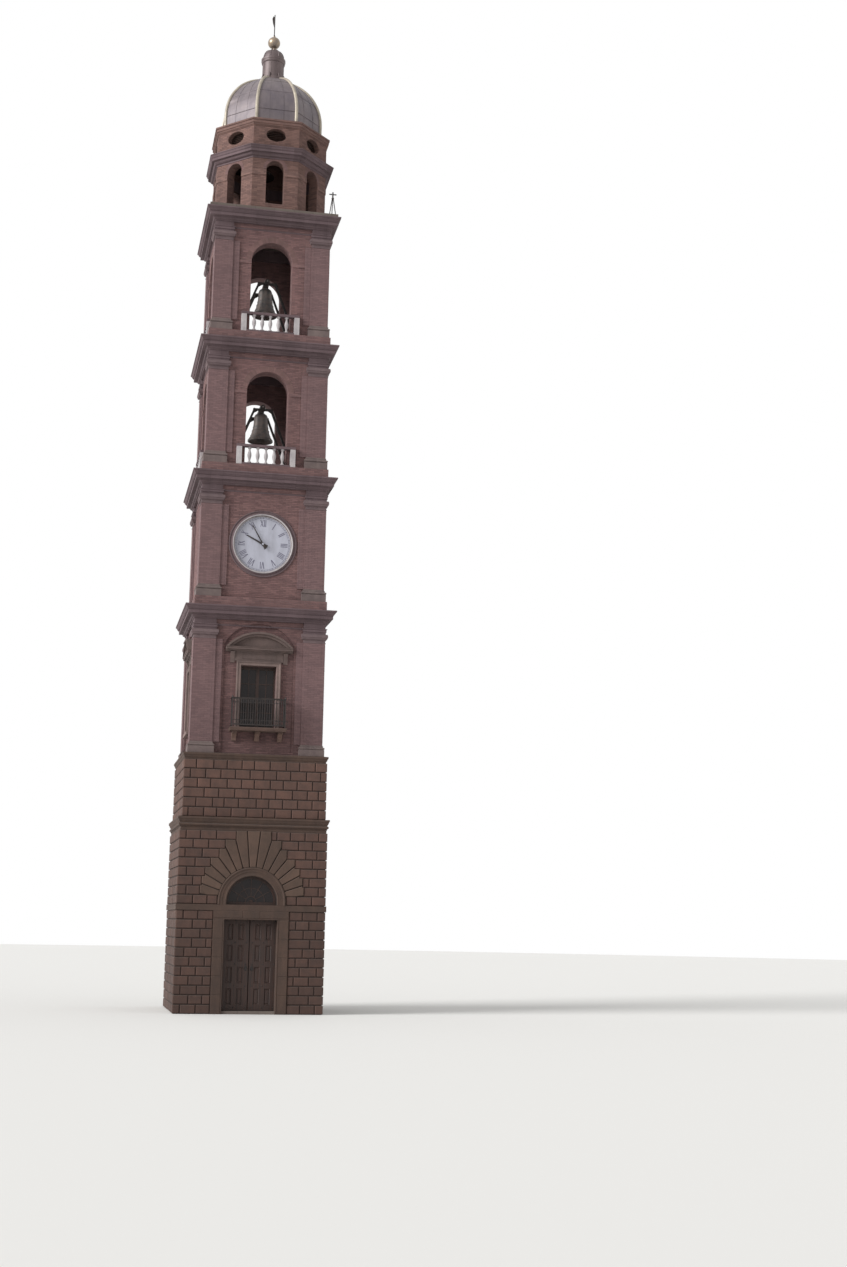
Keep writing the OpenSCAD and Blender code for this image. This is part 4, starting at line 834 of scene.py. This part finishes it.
def makeDrumBricks():
    d, m = drum, masonry
    radius = d["window"] / 2
    windowGap = discGap(radius + d["archBrick"], d["spring"], radius, d["spring"])

    def oculusGap(z):
        across, high = d["oculus"]
        return across * math.sqrt(max(0.0, 1 - ((z - d["oculusMiddle"]) / high) ** 2))

    faces, brick = [], (plainBrick["length"], m["joint"])
    for turn in eightSides:
        for half, band, gap in ((d["half"], "wall", windowGap), (d["plinthHalf"], "plinth", always(0.0)),
                                (d["half"], "attic", oculusGap)):
            faces += coursedFaces(turn, half - m["sunk"], brickCourses(*d[band]), brick,
                                  always(half * math.tan(math.pi / 8)), gap)
    values = {"Depth": m["sunk"] + m["proud"], "Depth spread": m["spread"], "Seed": d["seed"]}
    grow("drumBricks", brickTree, faceMesh(faces), values, "drumBrick")
    places = [(turn, d["half"] - m["sunk"], d["spring"]) for turn in eightSides]
    growArches("drum", d, places, radius)


makeDrumBricks()

print("stage: mouldings")


def swept(path, closed, section, up=(0, 0, 1)):
    # a solid of one section along a flat path; the section's points are across the path and up
    up = Vector(up).normalized()
    points = [Vector(p) for p in path]
    count, width = len(points), len(section)
    placed = []
    for i, point in enumerate(points):
        before = points[i - 1] if closed or i else None
        after = points[(i + 1) % count] if closed or i < count - 1 else None
        sides = [(b - a).cross(up).normalized() for a, b in ((before, point), (point, after)) if a and b]
        side = (sides[0] + sides[-1]) / (1 + sides[0].dot(sides[-1]))
        placed += [point + side * across + up * high for across, high in section]
    faces = []
    for i in range(count if closed else count - 1):
        here, there = i * width, (i + 1) % count * width
        faces += [(here + k, here + (k + 1) % width, there + (k + 1) % width, there + k)
                  for k in range(width)]
    if not closed:
        faces += [tuple(range(width)), tuple(range((count - 1) * width, count * width))]
    return placed, faces


def faceSwept(turn, plane, points, closed, section):
    # a moulding along a line of one side's plane; its section's heights stand out of the plane
    return swept(onFace(turn, plane, points), closed, section, turnedPoint(turn, 0, 1, 0))


def arcPoints(middle, radius, first, last, steps):
    angles = [math.radians(first + (last - first) * i / steps) for i in range(steps + 1)]
    if abs(last - first) == 360:
        angles = angles[:-1]
    return [(middle[0] + radius * math.cos(a), middle[1] + radius * math.sin(a)) for a in angles]


def openFrame(left, right, low, high):
    return [(right, low), (right, high), (left, high), (left, low)]


def roundSection(radius, sides=8):
    return ringPoints(sides, radius, radius, 0.5)


def bar(width, low, high):
    return box(-width / 2, width / 2, low, high)


def solidPiece(name, parts, look, body="tower"):
    # one mesh of closed solids, with their faces outwards and their edges sharp over 30 degrees
    mesh = bpy.data.meshes.new(name)
    points, faces = [], []
    for placed, sides in parts:
        first = len(points)
        points += [tuple(p) for p in placed]
        faces += [tuple(first + i for i in side) for side in sides]
    mesh.from_pydata(points, [], faces)
    shell = bmesh.new()
    shell.from_mesh(mesh)
    bmesh.ops.recalc_face_normals(shell, faces=shell.faces)
    shell.to_mesh(mesh)
    shell.free()
    mesh.polygons.foreach_set("use_smooth", [True] * len(mesh.polygons))
    mesh.set_sharp_from_angle(angle=math.radians(30))
    mesh.materials.append(finish[look])
    return addPiece(name, mesh, body)


portal = {"face": 1.522, "half": 0.52, "foot": 2.177, "spring": 2.24, "jambFace": 1.53, "doorHalf": 0.54,
          "doorFoot": 0.002, "doorHead": 1.876, "jamb": (0.572, 0.764), "jambCourses": (0.004, 1.872, 5),
          "lintel": (1.91, 2.05), "lintelStones": ((-0.764, -0.18), (-0.174, 0.174), (0.18, 0.764)),
          "joint": 0.003, "sunk": 0.002, "steps": 36, "stones": {"Depth": 0.009, "Chamfer": 0.004, "Seed": 5},
          "archivolt": [(-0.002, -0.01), (-0.002, 0.006), (0.022, 0.012), (0.03, 0.006), (0.085, 0.006),
                        (0.085, 0.013), (0.125, 0.013), (0.132, 0.02), (0.15, 0.025), (0.168, 0.02),
                        (0.172, 0.012), (0.172, -0.01)],
          "bead": [(0.004, -0.008), (0.004, 0.006), (0.014, 0.01), (0.024, 0.006), (0.024, -0.008)]}


def makePortalMouldings():
    d = portal
    arch = arcPoints((0, d["spring"]), d["half"], 0, 180, d["steps"])
    arch = [(d["half"], d["foot"])] + arch + [(-d["half"], d["foot"])]
    door = openFrame(-d["doorHalf"], d["doorHalf"], d["doorFoot"], d["doorHead"])
    solidPiece("portalMouldings", [faceSwept(0, d["face"], arch, False, d["archivolt"]),
                                   faceSwept(0, d["jambFace"], door, False, d["bead"])],
               "dressedStone")
    stones = []
    for number, low, high in evenCourses(*d["jambCourses"]):
        for hand in (1, -1):
            left, right = sorted(hand * x for x in d["jamb"])
            stones.append(box(left, right, low + d["joint"], high - d["joint"]))
    stones += [box(left, right, *d["lintel"]) for left, right in d["lintelStones"]]
    faces = [onFace(0, d["jambFace"] - d["sunk"], stone) for stone in stones]
    grow("jambStones", stoneTree, faceMesh(faces), d["stones"], "dressedStone")


makePortalMouldings()

print("stage: doors")

doors = {"hinge": 0.56, "floor": 1.309, "front": 1.321, "columns": ((0.11, 0.2209), (0.331, 0.4419)),
         "foot": 0.178, "rows": 4, "panel": 0.322, "rail": 0.11, "inset": 0.024, "sunk": 0.001,
         "raised": {"Depth": 0.009, "Chamfer": 0.007, "Seed": 2},
         "moulding": [(-0.018, -0.002), (-0.014, 0.004), (-0.004, 0.008), (0.001, 0.014), (0.001, -0.002)],
         "studs": (0.04, 0.276, 0.497), "stud": (0.014, 0.012), "pull": (0.497, 0.93), "ring": 0.032,
         "ringSides": 20, "ringDrop": 0.03, "ringOut": 0.012, "wire": 0.005, "stem": 0.008, "stemRise": 0.002,
         "stemOut": 0.018, "plate": (0.022, 0.075, 0.03), "raisedPlate": {"Depth": 0.004, "Chamfer": 0.002}}


def domeShape(radius, high, sides=8):
    # a low turned button that faces out of the front, for copies
    rings = [(1.0, 0.0), (0.92, 0.45), (0.6, 0.85)]
    points = [(x, -high * up, z) for share, up in rings
              for x, z in ringPoints(sides, radius * share, radius * share)]
    points += [(0, -high, 0), (0, 0.0, 0)]
    faces = []
    for low in range(0, (len(rings) - 1) * sides, sides):
        faces += [(low + i, low + (i + 1) % sides, low + sides + (i + 1) % sides, low + sides + i)
                  for i in range(sides)]
    last, tip, base = (len(rings) - 1) * sides, len(rings) * sides, len(rings) * sides + 1
    faces += [(last + i, last + (i + 1) % sides, tip) for i in range(sides)]
    faces += [((i + 1) % sides, i, base) for i in range(sides)]
    mesh = bpy.data.meshes.new("button")
    mesh.from_pydata(points, [], faces)
    return bpy.data.objects.new("button", mesh)


def makeDoors():
    d = doors
    pitch = d["panel"] + d["rail"]
    for body, hand in (("left_door", 1), ("right_door", -1)):
        side = body.split("_")[0]
        mouldings, raised, buttons = [], [], []
        for column in d["columns"]:
            left, right = sorted(-hand * d["hinge"] + hand * x for x in column)
            for row in range(d["rows"]):
                low = d["foot"] + row * pitch
                high, e = low + d["panel"], d["inset"]
                mouldings.append(faceSwept(0, d["floor"], box(left, right, low, high), True, d["moulding"]))
                raised.append(onFace(0, d["floor"] - d["sunk"], box(left + e, right - e, low + e, high - e)))
        for near in d["studs"]:
            x = hand * (near - d["hinge"])
            for row in range(d["rows"] + 1):
                z = d["foot"] - d["rail"] / 2 + row * pitch
                buttons.append((turnedPoint(0, x, d["front"] - d["sunk"], z), (0, 0, 0)))
        solidPiece(side + "DoorMouldings", mouldings, "stainedTimber", body)
        grow(side + "DoorPanels", stoneTree, faceMesh(raised), d["raised"], "stainedTimber", body)
        growCopies(side + "DoorStuds", domeShape(*d["stud"]), buttons, "paintedIron", body)
        x, z = hand * (d["pull"][0] - d["hinge"]), d["pull"][1]
        ring = ringPoints(d["ringSides"], d["ring"], d["ring"])
        ring = [(x + across, z - d["ringDrop"] + up) for up, across in ring]
        stem = [turnedPoint(0, x, d["front"] + out, z + d["stemRise"]) for out in (-d["sunk"], d["stemOut"])]
        pull = [faceSwept(0, d["front"] + d["ringOut"], ring, True, roundSection(d["wire"])),
                swept(stem, False, roundSection(d["stem"]))]
        solidPiece(side + "DoorPull", pull, "paintedIron", body)
        half, below, above = d["plate"]
        plate = onFace(0, d["front"], openFrame(x - half, x + half, z - below, z + above))
        grow(side + "DoorPlate", stoneTree, faceMesh([plate]), d["raisedPlate"], "paintedIron", body)


makeDoors()

print("stage: fanlight and windows")

glazing = {"fanFloor": 1.324, "fanRadius": 0.46, "arcs": (0.11, 0.28), "spokes": range(30, 180, 30),
           "spoke": (0.1, 0.465), "fanBar": 0.016, "hub": 0.045,
           "hubBlock": {"Depth": 0.016, "Chamfer": 0.004}, "floor": 1.138, "casement": (0.034, 0.336),
           "foot": 5.854, "head": 7.056, "rows": 4, "bar": 0.018, "over": 0.001, "sunk": 0.002,
           "raised": 0.003, "thick": 0.006, "arcHigh": 0.012, "spokeHigh": 0.011, "rungHigh": 0.01,
           "postHigh": 0.011, "paneSteps": 32, "arcSteps": 28, "hubSteps": 12}


def makeGlazing():
    d = glazing
    e, middle, fanPlane = d["over"], (0, portal["spring"]), d["fanFloor"] + d["raised"]
    half = arcPoints(middle, d["fanRadius"] + d["sunk"], 0, 180, d["paneSteps"])
    panes = [onFace(0, d["fanFloor"] - d["sunk"], half)]
    bars = [faceSwept(0, fanPlane, arcPoints(middle, radius, -0.5, 180.5, d["arcSteps"]), False,
                      bar(d["fanBar"], -e, d["arcHigh"])) for radius in d["arcs"]]
    for angle in d["spokes"]:
        ends = [arcPoints(middle, radius, angle, angle + 1, 1)[0] for radius in d["spoke"]]
        bars.append(faceSwept(0, fanPlane, ends, False, bar(d["fanBar"], -e, d["spokeHigh"])))
    hub = onFace(0, fanPlane, arcPoints(middle, d["hub"], 0, 180, d["hubSteps"]))
    grow("fanlightHub", stoneTree, faceMesh([hub]), d["hubBlock"], "stainedTimber")
    for turn in fourSides:
        for hand in (-1, 1):
            left, right = sorted(hand * x for x in d["casement"])
            pane = box(left - e, right + e, d["foot"] - e, d["head"] + e)
            panes.append(onFace(turn, d["floor"] - d["sunk"], pane))
            lines = []
            for row in range(1, d["rows"]):
                z = d["foot"] + (d["head"] - d["foot"]) * row / d["rows"]
                lines.append(([(left - e, z), (right + e, z)], d["rungHigh"]))
            lines.append(([((left + right) / 2, z) for z in (d["foot"] - e, d["head"] + e)], d["postHigh"]))
            bars += [faceSwept(turn, d["floor"] + d["raised"], line, False, bar(d["bar"], -e, high))
                     for line, high in lines]
    grow("windowGlass", brickTree, faceMesh(panes), {"Depth": d["thick"]}, "darkGlass")
    solidPiece("glazingBars", bars, "stainedTimber")


makeGlazing()

print("stage: window frames and balcony")

window = {"face": 1.364, "half": 0.37, "foot": 5.796, "head": 7.116, "friezeFace": 1.334,
          "frieze": (-0.36, 0.36, 7.255, 7.365),
          "frame": [(0.002, -0.006), (0.002, 0.006), (0.012, 0.012), (0.024, 0.006), (0.056, 0.006),
                    (0.056, 0.01), (0.072, 0.018), (0.09, 0.014), (0.093, -0.006)],
          "panel": [(-0.012, -0.004), (-0.012, 0.004), (-0.004, 0.007), (0.0, -0.004)]}
balcony = {"front": 1.634, "back": 1.34, "half": 0.559, "end": 0.549, "low": 5.834, "high": 6.394,
           "rail": 0.012, "lowRail": 0.11, "highRail": 0.09, "rings": 12, "ringSides": 14, "ringWire": 0.008,
           "ringClear": 0.02, "ringGap": 0.002, "gripRise": 0.002, "knobRise": 0.014,
           "knob": (0.018, -0.034, 10), "slabFront": 1.664, "slabBack": 1.31, "slabHalf": 0.575,
           "slabHeight": 5.759,
           "grip": [(-0.018, 0.0), (0.018, 0.0), (0.018, 0.006), (0.008, 0.013), (-0.008, 0.013),
                    (-0.018, 0.006)],
           "edge": [(-0.01, 0.03), (0.01, 0.03), (0.018, 0.018), (0.01, 0.004), (0.004, -0.018),
                    (-0.01, -0.018)]}


def makeWindowMouldings():
    w = window
    parts = []
    for turn in fourSides:
        line = openFrame(-w["half"], w["half"], w["foot"], w["head"])
        parts += [faceSwept(turn, w["face"], line, False, w["frame"]),
                  faceSwept(turn, w["friezeFace"], box(*w["frieze"]), True, w["panel"])]
    solidPiece("windowFrameMouldings", parts, "frameStone")


def makeParapetIron():
    b = balcony
    y, half, end = b["front"], b["half"], b["end"]
    upper, lower = b["high"] - b["highRail"], b["low"] + b["lowRail"]
    lines = [[turnedPoint(0, x, out, upper) for out in (y, b["back"])] for x in (-end, end)]
    lines += [onFace(0, y, [(-half, z), (half, z)]) for z in (upper, lower)]
    values = {"Width": b["rail"], "Height": b["rail"], "Sides": 8}
    grow("parapetRails", barTree, lineMesh(lines, False), values, "paintedIron")
    rings, pitch = [], 2 * half / (2 * b["rings"] - 1)
    for low, high in ((b["low"] + b["ringClear"], lower), (upper, b["high"] - b["ringClear"])):
        middle, radius = (low + high) / 2, (high - low) / 2 - b["ringGap"]
        circle = ringPoints(b["ringSides"], radius, radius)
        for i in range(b["rings"]):
            x = -half + (2 * i + 1.25) * pitch
            rings.append(onFace(0, y, [(x + across, middle + up) for across, up in circle]))
    values = {"Width": b["ringWire"], "Height": b["ringWire"], "Sides": 6}
    grow("parapetRings", barTree, lineMesh(rings, True), values, "paintedIron")

    def roundBalcony(across, back, front, z, section):
        # along three sides of the balcony, from the wall and back to it
        line = [(-across, back), (-across, front), (across, front), (across, back)]
        return [swept([turnedPoint(0, x, out, z) for x, out in line], False, section)]

    solidPiece("parapetHandrail", roundBalcony(end, b["back"], y, b["high"] + b["gripRise"], b["grip"]),
               "paintedIron")
    knobs = [((x, -y, b["high"] + b["knobRise"]), (math.pi / 2, 0, 0)) for x in (-end, end)]
    growCopies("parapetKnobs", domeShape(*b["knob"]), knobs, "paintedIron")
    solidPiece("balconyEdge", roundBalcony(b["slabHalf"], b["slabBack"], b["slabFront"], b["slabHeight"],
                                           b["edge"]), "slabStone")


makeWindowMouldings()
makeParapetIron()

print("stage: dial")

dial = {"face": 1.263, "middle": 9.74, "radius": 0.5995, "numerals": (0.381, 0.529), "stroke": 0.016,
        "thin": 0.7, "thick": 1.15, "pitch": {"I": 0.03024, "V": 0.0735, "X": 0.0735}, "serif": 0.009,
        "lean": 0.001, "minutes": (0.556, 0.583), "minute": 0.005, "fifth": 0.011, "sunk": 0.0005,
        "depth": 0.0024, "thinDepth": 0.002, "ring": (0.004, -0.0006, 0.0018), "wall": 1.285,
        "bore": 0.6155, "steps": 96,
        "lip": [(-0.006, -0.004), (-0.006, 0.012), (0.006, 0.016), (0.016, 0.006), (0.016, -0.004)],
        "roll": [(-0.003, 0.02), (-0.003, 0.03), (0.002, 0.038), (0.007, 0.0435), (0.0145, 0.0455),
                 (0.023, 0.044), (0.026, 0.03), (0.004, 0.02)]}
numerals = "XII I II III IIII V VI VII VIII IX X XI".split()


def numeralStrokes(text):
    # strokes of plain letters, each its foot, its head and its width, centred on the text
    d = dial
    thick, thin = d["stroke"] * d["thick"], d["stroke"] * d["thin"]
    x = -sum(d["pitch"][c] for c in text) / 2
    strokes = []
    for c in text:
        w = d["pitch"][c]
        left, right, middle = x + d["serif"], x + w - d["serif"], x + w / 2
        strokes += {"I": [(middle, middle, d["stroke"])],
                    "V": [(middle - d["lean"], left, thick), (middle + d["lean"], right, thin)],
                    "X": [(right, left, thick), (left, right, thin)]}[c]
        x += w
    return strokes


def makeDialMarks():
    d = dial
    marks, thin = [], []

    def addMark(kept, share, foot, head, wide, low, high):
        # a bar from its foot to its head, on the dial's upright, turned by a share of the round
        c, s = math.cos(-math.tau * share), math.sin(-math.tau * share)
        corners = [(foot - wide / 2, low), (foot + wide / 2, low), (head + wide / 2, high),
                   (head - wide / 2, high)]
        kept.append(onFace(0, d["face"] - d["sunk"],
                           [(x * c - r * s, d["middle"] + (x * s + r * c)) for x, r in corners]))

    for hour, text in enumerate(numerals):
        for number, (foot, head, wide) in enumerate(numeralStrokes(text)):
            addMark(thin if number % 2 else marks, hour / 12, foot, head, wide, *d["numerals"])
    for minute in range(60):
        addMark(marks, minute / 60, 0, 0, d["minute"] if minute % 5 else d["fifth"], *d["minutes"])
    grow("dialMarks", brickTree, faceMesh(marks), {"Depth": d["depth"]}, "numeralPaint")
    grow("dialThinMarks", brickTree, faceMesh(thin), {"Depth": d["thinDepth"]}, "numeralPaint")

    def circle(plane, radius, section):
        return faceSwept(0, plane, arcPoints((0, d["middle"]), radius, 0, 360, d["steps"]), True, section)

    solidPiece("dialRings", [circle(d["face"], radius, bar(*d["ring"])) for radius in d["minutes"]],
               "numeralPaint")
    solidPiece("dialRim", [circle(d["face"], d["radius"], d["lip"]), circle(d["wall"], d["bore"], d["roll"])],
               "paleStone")


makeDialMarks()

print("stage: bells and frames")

bells = {"lip": 0.277, "height": 0.64, "axes": {"lower": 13.037, "upper": 15.95}, "crown": 0.06, "foot": 0.03,
         "waist": 0.74, "profile": (0.56, 0.38, 2.2), "proud": 0.001, "lipProud": 0.012, "sides": 48,
         "rings": ((0.0, 0.005), (0.06, 0.009), (0.085, 0.006), (0.2, 0.006), (0.43, 0.009), (0.46, 0.006),
                   (0.62, 0.006)),
         "yokeHalf": (0.06, 0.026), "straps": (-0.24, -0.05, 0.05, 0.24), "strap": (-0.001, 0.006, 0.014)}
frames = {"depth": 0.373, "top": 0.185, "drop": 0.067, "bolt": (0.015, 0.014, 6),
          "feet": {"lower": (0.824, 11.343), "upper": (0.793, 14.313)},
          "gusset": [(0.03, 0.02), (-0.1, 0.02), (-0.1, -0.02), (0.01, -0.09), (0.05, -0.09)],
          "gussetSunk": 0.0005, "gussetThick": 0.006}


def bellRadius(share):
    # the outer radius of the bell's waist, from its foot to its shoulder
    least, flare, power = bells["profile"]
    return bells["lip"] * (least + flare * (1 - share) ** power)


def makeBells():
    b, f = bells, frames
    inner, outer, wide = b["strap"]
    bolts, gussets = [], []
    for name, axis in b["axes"].items():
        lip = axis - b["crown"] - b["height"]
        rings = []
        for share, size in b["rings"]:
            z = lip + (b["foot"] + b["waist"] * b["height"] * share)
            radius = bellRadius(share) + (b["proud"] if share else b["lipProud"])
            ring = [(x, y, z) for x, y in ringPoints(b["sides"], radius, radius)]
            rings.append(swept(ring, True, roundSection(size)))
        solidPiece(name + "BellRings", rings, "agedBronze", name + "_bell")
        x, z = b["yokeHalf"]
        straps = []
        for y in b["straps"]:
            loop = [(x, y, axis - z), (x, y, axis + z), (-x, y, axis + z), (-x, y, axis - z)]
            straps.append(swept(loop, True, box(inner, outer, -wide, wide), (0, 1, 0)))
        solidPiece(name + "YokeStraps", straps, "paintedIron", name + "_bell")
        top, (reach, foot) = axis - f["drop"], f["feet"][name]
        for hand in (-1, 1):
            for x, z in ((f["top"], top), (-f["top"], top), (0.0, top), (reach, foot), (-reach, foot)):
                bolts.append(((x, hand * f["depth"], z), (0, 0, math.pi if hand > 0 else 0)))
            for lean in (-1, 1):
                corners = [(lean * f["top"] + lean * x, hand * (f["depth"] - f["gussetSunk"]), top + z)
                           for x, z in f["gusset"]]
                if lean * hand > 0:
                    corners = corners[::-1]
                count = len(corners)
                raised = corners + [(x, y + hand * f["gussetThick"], z) for x, y, z in corners]
                sides = [(i, (i + 1) % count, count + (i + 1) % count, count + i) for i in range(count)]
                gussets.append((raised, sides + [tuple(range(count)), tuple(range(count, 2 * count))]))
    growCopies("frameBolts", domeShape(*f["bolt"]), bolts, "paintedIron")
    solidPiece("frameGussets", gussets, "paintedIron")


makeBells()

print("stage: dome, lantern and terrace")

dome = {"half": 1.07, "foot": 19.37, "skirt": 0.34, "rise": 1.17, "steps": 24, "seat": 0.3,
        "rib": (0.036, 10), "ribLift": 0.002, "ribEnd": 0.32,
        "seam": 0.008, "seamSunk": 0.004, "seams": (-0.36, 0.36),
        "seamEnd": 0.33, "laps": (0.33, 0.62, 0.9), "lap": (0.005, 6), "skirtRoll": 0.011,
        "eaves": [(-0.01, 0.0), (0.03, 0.0), (0.034, 0.03), (0.02, 0.05), (0.012, 0.07), (-0.01, 0.07)]}
lantern = {"crown": 20.833, "radius": 0.246, "height": 0.84, "ribs": (0.11, 0.46),
           "rib": (-0.004, 0.012, 0.02), "wire": 0.014,
           "scroll": [(0.045, 0.05), (0.04, 0.08), (0.028, 0.105), (0.02, 0.14), (0.012, 0.18)],
           "capInner": 0.04, "capRim": 0.044, "capFoot": 0.73, "capRise": 0.26, "capWire": (0.01, 6)}
cornerAngles = [math.radians(22.5 + turn) for turn in eightSides]


def meridian(angle, spread, lift, last):
    # a line up the dome at one angle, a little over its surface
    d = dome
    radii = [(d["half"], 0.0)]
    for i in range(d["steps"] + 1):
        turn = math.acos(last / d["half"]) * i / d["steps"]
        radii.append((d["half"] * math.cos(turn), d["skirt"] + d["rise"] * math.sin(turn)))
    return [(math.cos(angle) * (r * spread + lift), math.sin(angle) * (r * spread + lift), d["foot"] + z)
            for r, z in radii]


def crosswise(angle):
    return (-math.sin(angle), math.cos(angle), 0)


def octagonSwept(half, z, section):
    reach = half / math.cos(math.pi / 8)
    return swept([(reach * math.cos(a), reach * math.sin(a), z) for a in cornerAngles], True, section)


def makeDome():
    d = dome
    ribs, seams = [], []
    w, sunk = d["seam"], d["seamSunk"]
    seam = [(-sunk, -w / 2), (w, -w / 3), (w, w / 3), (-sunk, w / 2)]
    for turn, corner in zip(eightSides, cornerAngles):
        line = meridian(corner, 1 / math.cos(math.pi / 8), d["ribLift"], d["ribEnd"])
        ribs.append(swept(line, False, roundSection(*d["rib"]), crosswise(corner)))
        for share in d["seams"]:
            lean = math.atan(share * math.tan(math.pi / 8))
            angle = math.radians(turn) + lean
            line = meridian(angle, 1 / math.cos(lean), 0.0, d["seamEnd"])
            seams.append(swept(line, False, seam, crosswise(angle)))
    for share in d["laps"]:
        turn = math.acos(d["seat"] / d["half"]) * share
        z = d["foot"] + d["skirt"] + d["rise"] * math.sin(turn)
        seams.append(octagonSwept(d["half"] * math.cos(turn), z, roundSection(*d["lap"])))
    rolls = solidPiece("domeRolls", ribs, "rollSheet")
    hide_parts("dome_ribs")
    seams += [octagonSwept(d["half"], d["foot"], d["eaves"]),
              octagonSwept(d["half"], d["foot"] + d["skirt"], roundSection(d["skirtRoll"]))]
    solidPiece("domeSeams", seams, "sheetMetal")


def makeLantern():
    n = lantern
    inner, outer, wide = n["rib"]
    turns = [math.pi / 16 * i for i in range(8)]
    cap = [(n["capInner"] + (n["radius"] - n["capRim"]) * math.cos(t),
            n["height"] * (n["capFoot"] + n["capRise"] * math.sin(t))) for t in turns]
    ribs, caps = [], []
    kinds = (([(n["radius"], z) for z in n["ribs"]], box(inner, outer, -wide, wide), ribs),
             ([(n["radius"] + out, z) for out, z in n["scroll"]], roundSection(n["wire"]), ribs),
             (cap, roundSection(*n["capWire"]), caps))
    for angle in cornerAngles:
        x, y = math.cos(angle), math.sin(angle)
        for line, section, kept in kinds:
            path = [(x * r, y * r, n["crown"] + z) for r, z in line]
            kept.append(swept(path, False, section, crosswise(angle)))
    solidPiece("lanternRibs", ribs, "lanternMetal")
    solidPiece("lanternSeams", caps, "lanternMetal")


flags = {"cell": 0.35, "count": 8, "half": 1.4, "plinth": 1.256, "joint": 0.004, "height": 17.239, "seed": 21,
         "stones": {"Depth": 0.006, "Chamfer": 0.003, "Seed": 6}}


def makeTerrace():
    d = flags
    faces = []
    for i in range(d["count"]):
        for j in range(d["count"]):
            x0, y0 = (-d["half"] + k * d["cell"] + d["joint"] for k in (i, j))
            x1, y1 = (a + d["cell"] - 2 * d["joint"] for a in (x0, y0))
            flag = box(x0, x1, y0, y1)
            reach = max(max(abs(x), abs(y), (abs(x) + abs(y)) / math.sqrt(2)) for x, y in flag)
            if reach >= d["plinth"]:
                faces.append([(x, y, d["height"]) for x, y in flag])
    random.Random(d["seed"]).shuffle(faces)
    grow("terraceFlags", stoneTree, faceMesh(faces), d["stones"], "frameStone")


oculus = {"across": 0.222, "high": 0.15, "middle": 19.021, "plane": 1.07, "slats": 7, "share": 0.94,
          "clear": 0.004, "board": 0.06, "thick": 0.012, "sides": 32,
          "edge": [(0.002, -0.04), (0.002, 0.04), (-0.016, 0.04), (-0.016, -0.04)]}


def makeLouvres():
    # slats that fall outwards in an oval frame, on all eight sides of the attic
    o = oculus
    a, b = o["board"] / 2 * math.sqrt(0.5), o["thick"] / 2 * math.sqrt(0.5)
    slat = [(a - b, a + b), (a + b, a - b), (b - a, -a - b), (-a - b, b - a)]
    ring = [(x, o["middle"] + z) for x, z in ringPoints(o["sides"], o["across"], o["high"])]
    parts = []
    for turn in eightSides:
        parts.append(faceSwept(turn, o["plane"], ring, True, o["edge"]))
        for i in range(o["slats"]):
            rise = (i + 0.5) / o["slats"] * 2 - 1
            half = (o["across"] - o["clear"]) * math.sqrt(1 - rise * rise)
            z = o["middle"] + o["high"] * o["share"] * rise
            parts.append(faceSwept(turn, o["plane"], [(-half, z), (half, z)], False, slat))
    solidPiece("oculusLouvres", parts, "stainedTimber")


makeDome()
makeLantern()
makeTerrace()
makeLouvres()

print("stage: done")
